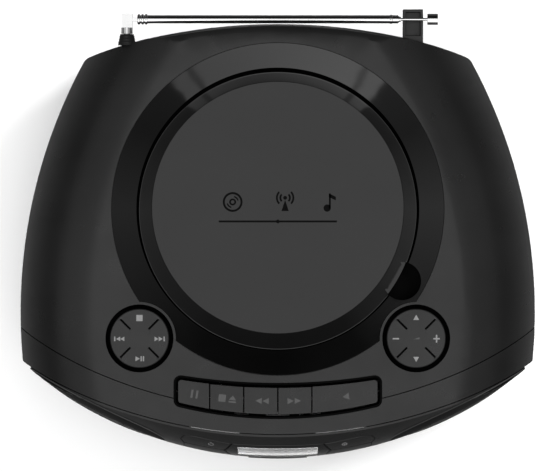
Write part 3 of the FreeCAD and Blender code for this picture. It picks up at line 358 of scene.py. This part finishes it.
def darken_recesses():
    """Pad wells, key bay, key arms, lid gap and finger notch: painted shade on what a narrow gap shows."""
    below = DECK_TOP - RECESS_DEPTH
    darken("top_cover", lambda centre, normal: WELL_LOW_Z < centre.z < below and in_a_well(centre))
    darken("disc_tray", lambda centre, normal: outside_the_tray(centre))
    darken("deck_ring", lambda centre, normal: centre.z < below - 2.5 or normal.z < -0.2)
    darken("lid_ring", lambda centre, normal: on_a_lid_arm(centre))
    darken("key_frame", lambda centre, normal: centre.z < DECK_TOP - 0.4)
    for key in ("key_pause", "key_stop", "key_rewind", "key_forward", "key_play"):
        darken(key, lambda centre, normal: centre.z < below)
    for pad in ("left_pad", "right_pad"):
        darken(pad, lambda centre, normal: centre.z < DECK_TOP - 0.8)
        darken(pad + "_pivot", lambda centre, normal: True)


dress_nodes()
darken_recesses()


# Fine shapes

def new_piece(name, made, finish, body, smooth_angle=30):
    """Turns a finished bmesh into a piece that rides on a body."""
    bmesh.ops.recalc_face_normals(made, faces=made.faces)
    mesh = bpy.data.meshes.new(name)
    made.to_mesh(mesh)
    made.free()
    mesh.materials.append(finish)
    mesh.polygons.foreach_set("use_smooth", [True] * len(mesh.polygons))
    mesh.set_sharp_from_angle(angle=math.radians(smooth_angle))
    item = bpy.data.objects.new(name, mesh)
    bpy.context.scene.collection.objects.link(item)
    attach(item, body)
    return item


def node_surface(*names):
    """The faces of some CAD nodes, ready to be hit by rays."""
    points, faces = [], []
    for name in names:
        mesh = NODES[name].data
        start = len(points)
        points.extend(vertex.co for vertex in mesh.vertices)
        faces.extend(tuple(start + index for index in face.vertices) for face in mesh.polygons)
    return BVHTree.FromPolygons(points, faces)


def plane_at(x, y, z=DECK_TOP, tilt=0.0, turn=0.0):
    """A drawing plane: x across and y up it, its middle at a place in millimetres."""
    place = Matrix.Translation(Vector((x, y, z)) * MM)
    return place @ Matrix.Rotation(math.radians(turn), 4, "Z") @ Matrix.Rotation(math.radians(tilt), 4, "X")


def onto(surface, plane, x, y, lift):
    """The point of a surface under (x, y) of a drawing plane, in millimetres, raised by lift."""
    normal = (plane.to_3x3() @ Vector((0, 0, 1))).normalized()
    start = plane @ Vector((x * MM, y * MM, 0)) + normal * 30 * MM
    hit = surface.ray_cast(start, -normal)[0]
    return hit + normal * lift * MM


def bar(x, y, width, height):
    """A rectangle about (x, y)."""
    across, up = width / 2, height / 2
    corners = [(-across, -up), (across, -up), (across, up), (-across, up)]
    return shifted(corners, x, y)


def triangle(x, y, length, width, heading):
    """A triangle about (x, y) whose tip points along heading, in degrees from +x."""
    corners = [(-length / 2, -width / 2), (length / 2, 0), (-length / 2, width / 2)]
    return shifted(turned_by(corners, heading), x, y)


def turned_by(corners, degrees):
    cosine, sine = math.cos(math.radians(degrees)), math.sin(math.radians(degrees))
    return [(x * cosine - y * sine, x * sine + y * cosine) for x, y in corners]


def shifted(corners, x, y):
    return [(x + corner_x, y + corner_y) for corner_x, corner_y in corners]


def arc_band(x, y, inner, outer, start, end, steps=24):
    """A band between two radii about (x, y), from one angle to another, as a row of quads."""
    quads = []
    for step in range(steps):
        low = math.radians(start + (end - start) * step / steps)
        high = math.radians(start + (end - start) * (step + 1) / steps)
        quads.append([(x + radius * math.cos(angle), y + radius * math.sin(angle))
                      for radius, angle in ((inner, low), (outer, low), (outer, high), (inner, high))])
    return quads


def disc(x, y, radius, steps=28):
    angles = [2 * math.pi * step / steps for step in range(steps)]
    return [(x + radius * math.cos(angle), y + radius * math.sin(angle)) for angle in angles]


def strip(x, y, width, height, steps=12):
    """A long rectangle about (x, y), as a row of quads that can follow a curved wall."""
    bottom, top = y - height / 2, y + height / 2
    quads = []
    for step in range(steps):
        low = x - width / 2 + width * step / steps
        high = x - width / 2 + width * (step + 1) / steps
        quads.append([(low, bottom), (high, bottom), (high, top), (low, top)])
    return quads


def stamp(name, shapes, node, plane, finish, sink=0.05, proud=0.03, also=()):
    """Thin solids in the given outlines, laid on a CAD node and moving with it."""
    surface = node_surface(node, *also)
    made = bmesh.new()
    high, low, edges = {}, {}, {}
    for outline in shapes:
        keys = [(round(x, 3), round(y, 3)) for x, y in outline]
        for key in keys:
            if key not in high:
                high[key] = made.verts.new(onto(surface, plane, *key, proud))
                low[key] = made.verts.new(onto(surface, plane, *key, -sink))
        made.faces.new([high[key] for key in keys])
        made.faces.new([low[key] for key in reversed(keys)])
        for ends in zip(keys, keys[1:] + keys[:1]):
            edges.setdefault(frozenset(ends), []).append(ends)
    for uses in edges.values():
        if len(uses) == 1:
            first, second = uses[0]
            made.faces.new((low[first], low[second], high[second], high[first]))
    return new_piece(name, made, finish, NODES[node]["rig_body"])


ICON_REACH = 11.7


def skip_icon(x, heading):
    """Two arrow heads and a stop bar, pointing left or right."""
    side = 1 if heading == 0 else -1
    heads = [triangle(x + side * along, -0.3, 2.3, 2.7, heading) for along in (-1.9, 0.5)]
    return [*heads, bar(x + side * 2.5, -0.3, 0.75, 2.7)]


def pad_icons():
    """Stop, skip and play symbols on the left pad, and arrows, plus and minus on the right one."""
    left = plane_at(-PAD_X, PAD_Y)
    play_pause = [triangle(-1.0, -ICON_REACH, 2.6, 2.9, 0), bar(1.0, -ICON_REACH, 0.75, 2.9),
                  bar(2.3, -ICON_REACH, 0.75, 2.9)]
    skips = [*skip_icon(-ICON_REACH, 180), *skip_icon(ICON_REACH, 0)]
    shapes = [bar(0, ICON_REACH, 3.6, 3.6), *play_pause, *skips]
    stamp("left_pad_icons", shapes, "left_pad", left, INK)
    right = plane_at(PAD_X, PAD_Y)
    level_marks = [triangle(0, ICON_REACH + 0.4, 3.0, 3.4, 90), triangle(0, -ICON_REACH - 0.4, 3.0, 3.4, 270),
                   bar(-ICON_REACH, -0.2, 3.7, 0.85), bar(ICON_REACH, -0.2, 3.7, 0.85),
                   bar(ICON_REACH, 1.15, 0.85, 1.7), bar(ICON_REACH, -1.55, 0.85, 1.7)]
    stamp("right_pad_icons", level_marks, "right_pad", right, INK)
    wedge = [[(-1.9, -0.55), (1.9, -0.55), (1.9, 0.6)]]
    stamp("loudness_wedge", wedge, "right_pad", right, DIM_INK)


KEY_ROW_Y = -95.9
KEY_ROW_RADIUS = 280


def arrows(heading):
    """The two arrow heads of a winding symbol."""
    return [triangle(-2.05, 0, 3.6, 3.6, heading), triangle(2.05, 0, 3.6, 3.6, heading)]


def key_icons():
    """The transport symbols, in a row that follows the keys' own curve."""
    eject = [triangle(3.0, 0.75, 2.7, 4.4, 90), bar(3.0, -1.65, 4.4, 0.9)]
    icons = {
        "key_pause": (-47.9, [bar(-1.45, 0, 1.25, 4.7), bar(1.45, 0, 1.25, 4.7)]),
        "key_stop": (-29.0, [bar(-3.0, 0, 4.2, 4.2), *eject]),
        "key_rewind": (-9.0, arrows(180)),
        "key_forward": (9.4, arrows(0)),
        "key_play": (39.1, [triangle(0, 0, 3.7, 4.2, 180)]),
    }
    for node, (x, shapes) in icons.items():
        y = KEY_ROW_Y + x * x / (2 * KEY_ROW_RADIUS)
        lean = math.degrees(math.atan(x / KEY_ROW_RADIUS))
        stamp(node + "_icon", shapes, node, plane_at(x, y, turn=lean), DIM_INK)


def lid_glyphs():
    """Three plain symbols on the lid: a disc, a tuner mast and a note, over a rule."""
    glyph_y = 18.6
    disc_mark = [*arc_band(-26, glyph_y, 4.5, 5.7, 0, 360, 48), *arc_band(-26, glyph_y, 1.0, 2.0, 0, 360, 28),
                 *arc_band(-26, glyph_y, 2.8, 3.6, 15, 75, 8), *arc_band(-26, glyph_y, 2.8, 3.6, 195, 255, 8)]
    mast = [triangle(4.2, glyph_y - 2.0, 6.4, 4.2, 90), disc(4.2, glyph_y + 2.4, 1.1)]
    for start in (-45, 135):
        for inner in (2.2, 4.2):
            mast.extend(arc_band(4.2, glyph_y + 2.4, inner, inner + 1.1, start, start + 90, 10))
    note = [disc(28.4, glyph_y - 3.5, 2.1), bar(29.95, glyph_y + 0.6, 1.1, 8.6),
            [(29.5, glyph_y + 4.9), (29.5, glyph_y + 2.8), (33.4, glyph_y + 0.9), (33.4, glyph_y + 3.0)]]
    rule = [bar(side * 17.5, 7.4, 33, 1.1) for side in (-1, 1)]
    shapes = [*disc_mark, *mast, *note, *rule, disc(0, 7.4, 1.1, 16)]
    stamp("lid_glyphs", shapes, "lid_plate", plane_at(0, 0), SHADOW_INK, 0.03, 0.02)


FACE_TILT = 60
FACE_AT = (0.0, -126.8, 125.5)


def display():
    """The liquid-crystal card behind the clear lens, as wide and high as the lens's own back."""
    face = plane_at(*FACE_AT, tilt=FACE_TILT)
    into_face = face.inverted()
    lens = [into_face @ vertex.co for vertex in NODES["display_lens"].data.vertices]
    back = min(point.z for point in lens) - 0.25 * MM
    low_x, high_x = min(point.x for point in lens), max(point.x for point in lens)
    low_y, high_y = min(point.y for point in lens), max(point.y for point in lens)
    margin, depth = 0.35 * MM, 0.8 * MM
    corners = [(low_x + margin, low_y + margin), (high_x - margin, low_y + margin),
               (high_x - margin, high_y - margin), (low_x + margin, high_y - margin)]
    made = bmesh.new()
    high = [made.verts.new(face @ Vector((x, y, back))) for x, y in corners]
    low = [made.verts.new(face @ Vector((x, y, back - depth))) for x, y in corners]
    made.faces.new(high)
    made.faces.new(low[::-1])
    for index in range(4):
        after = (index + 1) % 4
        made.faces.new((low[index], low[after], high[after], high[index]))
    new_piece("display_card", made, FINISHES["display_cell"], "root")


def face_icons():
    """A power mark and a source mark on the two upper front buttons."""
    face = plane_at(*FACE_AT, tilt=FACE_TILT)
    power = [*arc_band(-38.5, 7.4, 1.15, 1.6, 125, 415, 22), bar(-38.5, 8.7, 0.5, 1.6)]
    stamp("power_mark", power, "left_upper_button", face, INK)
    source = [*arc_band(38.5, 7.4, 1.15, 1.6, 0, 360, 28), triangle(38.6, 7.4, 1.2, 1.2, 0)]
    stamp("source_mark", source, "right_upper_button", face, INK)


GRILLE_AT = (104.5, -104.4, 64.0)
GRILLE_TURN = 27.5
GRILLE_LEAN = 18.0
GRILLE_SIZE = (39.0, 52.0)
HOLE_PITCH = 2.9
HOLE_RADIUS = 1.0
HOLE_SIDES = 12
SHEET_LIFT = -0.25
SHEET_EDGE = 0.985
HOLES_EDGE = 0.925
RIM_INSET = 1.1
RIM_STEPS = 150
RIM_PROFILE = ((-1.5, -0.9), (-1.4, 0.15), (-0.8, 0.6), (0.3, 0.6), (0.85, 0.2), (0.95, -0.9))


def speaker_plane(side):
    """Faces out of an oval grille, with y along the oval's long way."""
    upright = plane_at(side * GRILLE_AT[0], GRILLE_AT[1], GRILLE_AT[2], tilt=90, turn=side * GRILLE_TURN)
    return upright @ Matrix.Rotation(math.radians(-side * GRILLE_LEAN), 4, "Z")


def oval_reach(x, y):
    """How far out a point of the grille lies: 1 on its edge."""
    return math.hypot(x / GRILLE_SIZE[0], y / GRILLE_SIZE[1])


def grille_cells(made, surface, plane):
    """Pressed sheet with round holes on a hexagonal pitch, following the fascia's curve."""
    corners = {}

    def shared(x, y):
        key = (round(x, 2), round(y, 2))
        if key not in corners:
            inward = min(1.0, SHEET_EDGE / max(oval_reach(x, y), 0.01))
            corners[key] = made.verts.new(onto(surface, plane, x * inward, y * inward, SHEET_LIFT))
        return corners[key]

    def cell(x, y):
        """A hexagon's corners and the middles of its sides, shared with its neighbours."""
        edge = []
        for step in range(HOLE_SIDES):
            angle = math.radians(360 / HOLE_SIDES * step)
            radius = HOLE_PITCH / (2 if step % 2 == 0 else math.sqrt(3))
            edge.append(shared(x + radius * math.cos(angle), y + radius * math.sin(angle)))
        return edge

    def hole(x, y):
        edge = []
        for step in range(HOLE_SIDES):
            angle = math.radians(360 / HOLE_SIDES * step)
            at = (x + HOLE_RADIUS * math.cos(angle), y + HOLE_RADIUS * math.sin(angle))
            edge.append(made.verts.new(onto(surface, plane, *at, SHEET_LIFT)))
        return edge

    half_row = HOLE_PITCH * math.sqrt(3) / 2
    rows = int(GRILLE_SIZE[1] / half_row)
    columns = int(GRILLE_SIZE[0] / HOLE_PITCH) + 1
    for row in range(-rows, rows + 1):
        start = HOLE_PITCH / 2 if row % 2 else 0.0
        for column in range(-columns, columns + 1):
            x, y = start + column * HOLE_PITCH, row * half_row
            reach = oval_reach(x, y)
            if reach > SHEET_EDGE:
                continue
            outside = cell(x, y)
            if reach > HOLES_EDGE:
                made.faces.new(outside)
                continue
            inside = hole(x, y)
            for step in range(HOLE_SIDES):
                after = (step + 1) % HOLE_SIDES
                made.faces.new((outside[step], outside[after], inside[after], inside[step]))


def grille_rim(made, surface, plane):
    """A rounded ring that frames the pressed sheet."""
    rings = []
    for step in range(RIM_STEPS):
        angle = 2 * math.pi * step / RIM_STEPS
        ring = []
        for out, lift in RIM_PROFILE:
            x = (GRILLE_SIZE[0] - RIM_INSET + out) * math.cos(angle)
            y = (GRILLE_SIZE[1] - RIM_INSET + out) * math.sin(angle)
            ring.append(made.verts.new(onto(surface, plane, x, y, lift)))
        rings.append(ring)
    for step in range(RIM_STEPS):
        here, following = rings[step], rings[(step + 1) % RIM_STEPS]
        for index in range(len(RIM_PROFILE)):
            after = (index + 1) % len(RIM_PROFILE)
            made.faces.new((here[index], here[after], following[after], following[index]))


def grilles():
    """The two perforated sheets, which stand for the CAD model's grilles, and their rims."""
    surface = node_surface("speaker_grilles")
    sheet, rims = bmesh.new(), bmesh.new()
    for side in (-1, 1):
        plane = speaker_plane(side)
        grille_cells(sheet, surface, plane)
        grille_rim(rims, surface, plane)
    item = new_piece("perforated_grilles", sheet, FINISHES["grille"], "root")
    thickness = item.modifiers.new("sheet_thickness", "SOLIDIFY")
    thickness.thickness = 0.8 * MM
    thickness.offset = -1
    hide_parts("speaker_grilles")
    new_piece("grille_rims", rims, FINISHES["control"], "root")


ANTENNA_Y = 124.0
ANTENNA_Z = 127.0


def lathe_along_x(made, start_x, profile, steps=40):
    """A closed turned shape about the antenna's line, from (x, radius) corners."""
    rings = []
    for x, radius in profile:
        ring = []
        for step in range(steps):
            angle = 2 * math.pi * step / steps
            y = ANTENNA_Y + radius * math.cos(angle)
            z = ANTENNA_Z + radius * math.sin(angle)
            ring.append(made.verts.new(Vector((start_x + x, y, z)) * MM))
        rings.append(ring)
    for here, following in zip(rings, rings[1:] + rings[:1]):
        for step in range(steps):
            after = (step + 1) % steps
            made.faces.new((here[step], here[after], following[after], following[step]))


def antenna_collars():
    """Turned rings on the main tube's root, and the crimp where the rod comes out of it."""
    made = bmesh.new()
    for start in (-80.8, -78.7, -76.6):
        lathe_along_x(made, start, ((0, 2.2), (0, 2.75), (0.3, 3.0), (1.1, 3.0), (1.4, 2.75), (1.4, 2.2)))
    lathe_along_x(made, 64.6, ((0, 2.2), (0, 2.5), (0.3, 2.62), (1.2, 2.62), (1.5, 2.4), (1.5, 2.2)))
    new_piece("antenna_collars", made, FINISHES["chrome"], "antenna_outer")


def cassette_door_trim():
    """A raised frame around the door's window, a finger lip and pressed ribs below."""
    front = plane_at(0, -127, 56, tilt=90)
    frame_width, frame_height, band = 82.0, 46.0, 2.2
    shapes = []
    for end in (-1, 1):
        shapes.extend(strip(0, end * (frame_height - band) / 2, frame_width, band, 24))
        shapes.append(bar(end * (frame_width - band) / 2, 0, band, frame_height - 2 * band))
    glossy, satin = FINISHES["display_panel"], FINISHES["casing"]
    stamp("window_frame", shapes, "cassette_door", front, glossy, 0.3, 0.45)
    lip = strip(0, 32.6, 34, 2.2, 12)
    stamp("door_finger_lip", lip, "cassette_door", front, satin, 0.3, 1.1)
    ribs = [quad for row in range(4) for quad in strip(0, -31.5 - 3.2 * row, 70, 0.9, 20)]
    stamp("door_ribs", ribs, "cassette_door", front, satin, 0.3, 0.35)


def rear_details():
    """Grip ribs on the battery door, louvres over it, and a blank rating plate under the floor."""
    rear = plane_at(0, 118, 36, tilt=90, turn=180)
    ribs = [quad for row in range(5) for quad in strip(0, 9 + 2.4 * row, 38, 1.0, 8)]
    ribs.append(triangle(0, 2.0, 4.2, 6.4, 270))
    stamp("battery_door_ribs", ribs, "battery_door", rear, FINISHES["cabinet"], 0.3, 0.55)
    louvres = []
    for side in (-1, 1):
        for row in range(5):
            louvres.extend(strip(side * 38, 26.4 + 2.8 * row, 52, 1.2, 10))
    stamp("rear_louvres", louvres, "rear_cabinet", rear, FINISHES["cabinet"], 0.3, 0.8)
    under = plane_at(0, 10, 3, tilt=180)
    stamp("rating_plate", [bar(0, 0, 66, 34)], "rear_cabinet", under, LABEL, 0.1, 0.12)
    rules = [bar(-8, 11 - 5.5 * row, 40 - 6 * (row % 3), 0.5) for row in range(5)]
    stamp("rating_plate_rules", rules, "rear_cabinet", under, DIM_INK, -0.1, 0.15)


HOOD_INNER_X = 64.0
HOOD_OUTER_X = 142.0
HOOD_TIP = 1.5
HOOD_COLUMNS = 40
HOOD_ROWS = 6
SEAM_FRONT_Y = -115.1
SEAM_RADIUS = 288.0
FASCIA_FRONT_Y = -129.9
FASCIA_RADIUS = 226.0
SEAM_OVERLAP = 0.7
OUTLINE_INSET = 0.35
HOOD_SPREAD = 0.45


def arc_y(x, front_y, radius):
    """Where an arc whose middle is at front_y has got to at x."""
    return front_y + radius - math.sqrt(radius * radius - x * x)


def hood_bounds(x):
    """A hood's rear and front edges: along the bezel at the corner, closing on the fascia's outline."""
    seam = arc_y(x, SEAM_FRONT_Y, SEAM_RADIUS) - SEAM_OVERLAP
    outline = arc_y(x, FASCIA_FRONT_Y, FASCIA_RADIUS) + OUTLINE_INSET
    share = ((x - HOOD_INNER_X) / (HOOD_OUTER_X - HOOD_INNER_X)) ** HOOD_SPREAD
    return outline + (seam - outline) * share, outline


def between(near, far, index):
    """The quad between two rows of points, from one point of each to the next."""
    return [near[index], far[index], far[index + 1], near[index + 1]]


def grille_hoods():
    """Textured hoods over the tops of the grilles, near-black with little gloss as painted shade, with a thin
    raised strip along each in light grey as a painted highlight.
    """
    start = HOOD_INNER_X + HOOD_TIP
    reach = HOOD_OUTER_X - start
    stations = [start + reach * step / HOOD_COLUMNS for step in range(HOOD_COLUMNS + 1)]
    shares = [row / HOOD_ROWS for row in range(HOOD_ROWS + 1)]
    deck, grilles_too = plane_at(0, 0), ("speaker_grilles",)
    for side, name in ((-1, "left"), (1, "right")):
        cover_rows, highlight_rows = [], []
        for x in stations:
            rear, front = hood_bounds(x)
            cover_rows.append([(side * x, rear + (front - rear) * share) for share in shares])
            highlight_rows.append([(side * x, rear + lift) for lift in (0.35, -0.35)])
        columns = list(zip(cover_rows, cover_rows[1:]))
        cover = [between(near, far, row) for near, far in columns for row in range(HOOD_ROWS)]
        highlight_strip = [between(near, far, 0) for near, far in zip(highlight_rows, highlight_rows[1:])]
        # The hood gets painted shade, and the strip along its rear edge a painted highlight.
        stamp(name + "_grille_hood", cover, "front_fascia", deck, HOOD_SHADE_PAINT, 0.6, 0.25, grilles_too)
        stamp(name + "_hood_highlight_strip", highlight_strip, "front_fascia", deck, HOOD_HIGHLIGHT_PAINT, 0.6, 0.5, grilles_too)


grille_hoods()
pad_icons()
key_icons()
cassette_door_trim()
rear_details()
lid_glyphs()
display()
face_icons()
grilles()
antenna_collars()


# Stage

def floor():
    """Pale seamless paper, left out of the gloss, which mirrors the studio's sky instead."""
    half = 4.0
    corners = [(-half, -half, 0), (half, -half, 0), (half, half, 0), (-half, half, 0)]
    mesh = bpy.data.meshes.new("floor")
    mesh.from_pydata(corners, [], [(0, 1, 2, 3)])
    item = bpy.data.objects.new("floor", mesh)
    bpy.context.scene.collection.objects.link(item)
    shader = Shader("floor_paper", grey(0.90), 0.9)
    shader.tones(shader.noise(300 * MM, 2.0), (0.3, 0.99), (0.7, 1.0))
    shader.raised(shader.noise(1 * MM, 2.0), 0.01 * MM)
    mesh.materials.append(shader.material)
    item.visible_glossy = False


def soft_light(name, at, size, power):
    """A square lamp aimed at the object, which lights it but isn't mirrored in it."""
    lamp = bpy.data.lights.new(name, "AREA")
    lamp.size = size
    lamp.energy = power
    item = bpy.data.objects.new(name, lamp)
    item.location = at
    item.rotation_euler = (Vector((0, 0, 0.05)) - Vector(at)).to_track_quat("-Z", "Y").to_euler()
    item.visible_glossy = False
    bpy.context.scene.collection.objects.link(item)


class Sky:
    """The world's nodes while they are built."""

    def __init__(self, world):
        world.use_nodes = True
        self.tree = world.node_tree
        self.tree.nodes.clear()

    def add(self, kind, **inputs):
        node = self.tree.nodes.new(kind)
        for socket, value in inputs.items():
            node.inputs[socket.replace("_", " ")].default_value = value
        return node

    def link(self, output, target):
        self.tree.links.new(output, target)

    def maths(self, operation, first, second=0.0):
        """One operation on two values, each a number or another node's output."""
        node = self.add("ShaderNodeMath")
        node.operation = operation
        for index, value in enumerate((first, second)):
            if hasattr(value, "links"):
                self.link(value, node.inputs[index])
            else:
                node.inputs[index].default_value = value
        return node.outputs[0]

    def band(self, source, start, end, to_start=0.0, to_end=1.0):
        """A smooth step of a source between two values."""
        node = self.add("ShaderNodeMapRange")
        node.interpolation_type = "SMOOTHSTEP"
        for index, value in enumerate((start, end, to_start, to_end), start=1):
            node.inputs[index].default_value = value
        self.link(source, node.inputs[0])
        return node.outputs[0]

    def around(self, turn, stops):
        """A strength for each share of a half turn, from stops of degrees and strength."""
        ramp = self.add("ShaderNodeValToRGB")
        elements = ramp.color_ramp.elements
        first, last = elements[0], elements[1]
        first.color = (*grey(stops[0][1]), 1)
        last.color = (*grey(stops[-1][1]), 1)
        for degrees, strength in stops[1:-1]:
            elements.new(degrees / 180).color = (*grey(strength), 1)
        self.link(turn, ramp.inputs["Fac"])
        return ramp.outputs["Color"]


LAMP_STRENGTH = 1.35
LAMP_REACH = (0.30, 0.17)
PANEL_STRENGTH = 2.05
PANEL_REACH = (0.5, 3.2)
WALL_STRENGTH = 0.13
WALL_HEIGHT = (0.45, -0.5)
BACKDROP = (0.88, 0.88, 0.88, 1)
AROUND = (
    # the panel's strength around the lamp, by degrees away from the front
    (0, 0.95), (30.9, 0.95), (31.7, 0.42), (33.6, 0.42), (34.4, 0.88), (40.1, 0.88), (40.9, 0.13), (60, 0.10),
    (90, 0.27), (120, 0.14), (150, 0.015), (180, 0.0),
)


def studio_sky():
    """What the gloss mirrors: a lamp overhead, a striped panel around it and dim walls."""
    world = bpy.data.worlds.new("studio")
    bpy.context.scene.world = world
    sky = Sky(world)
    direction = sky.add("ShaderNodeSeparateXYZ")
    sky.link(sky.add("ShaderNodeTexCoord").outputs["Generated"], direction.inputs[0])
    x, y, z = direction.outputs
    height = sky.maths("MAXIMUM", z, 0.02)
    across = sky.maths("DIVIDE", x, height)
    back = sky.maths("DIVIDE", y, height)
    squares = [sky.maths("MULTIPLY", part, part) for part in (across, back)]
    reach = sky.maths("SQRT", sky.maths("ADD", *squares))
    bearing = sky.maths("ARCTAN2", across, sky.maths("MULTIPLY", back, -1.0))
    turn = sky.maths("ABSOLUTE", sky.maths("DIVIDE", bearing, math.pi))

    lamp = sky.band(reach, *LAMP_REACH)
    stripes = sky.maths("MULTIPLY", sky.around(turn, AROUND), sky.band(x, -0.25, 0.25, 1.3, 0.8))
    fading = sky.maths("MULTIPLY", stripes, sky.band(reach, *PANEL_REACH, 1.0, 0.08))
    beside_lamp = sky.maths("MULTIPLY", sky.maths("SUBTRACT", 1.0, lamp), fading)
    panel = sky.maths("MULTIPLY", beside_lamp, PANEL_STRENGTH)
    sideways = sky.band(sky.maths("ABSOLUTE", x), 0.15, 0.8, 0.75, 2.2)
    walls = sky.maths("MULTIPLY", sky.band(z, *WALL_HEIGHT, 0.10, 1.0), sideways)
    above = sky.maths("ADD", sky.maths("MULTIPLY", lamp, LAMP_STRENGTH), panel)
    total = sky.maths("ADD", above, sky.maths("MULTIPLY", walls, WALL_STRENGTH))

    mirrored = sky.add("ShaderNodeBackground")
    sky.link(total, mirrored.inputs["Strength"])
    backdrop = sky.add("ShaderNodeBackground", Color=BACKDROP, Strength=1.0)
    chosen = sky.add("ShaderNodeMixShader")
    sky.link(sky.add("ShaderNodeLightPath").outputs["Is Camera Ray"], chosen.inputs[0])
    sky.link(mirrored.outputs[0], chosen.inputs[1])
    sky.link(backdrop.outputs[0], chosen.inputs[2])
    sky.link(chosen.outputs[0], sky.add("ShaderNodeOutputWorld").inputs[0])


def camera():
    """A long lens straight above the deck, with the rear of the object at the top of the picture."""
    data = bpy.data.cameras.new("camera")
    item = bpy.data.objects.new("camera", data)
    view_height = 3.1
    subject_height = 0.10
    view_width = 0.3143
    middle_x, middle_y = -4.5 * MM, -0.7 * MM
    data.sensor_width = 36
    data.lens = 36 * (view_height - subject_height) / view_width
    data.clip_end = 20
    item.location = (middle_x, middle_y, view_height)
    bpy.context.scene.collection.objects.link(item)
    bpy.context.scene.camera = item


floor()
soft_light("key", (0.8, 0.5, 1.3), 0.6, 26)
soft_light("fill", (-0.4, -0.2, 1.9), 1.6, 34)
studio_sky()
camera()
bpy.context.scene.view_settings.view_transform = "Standard"
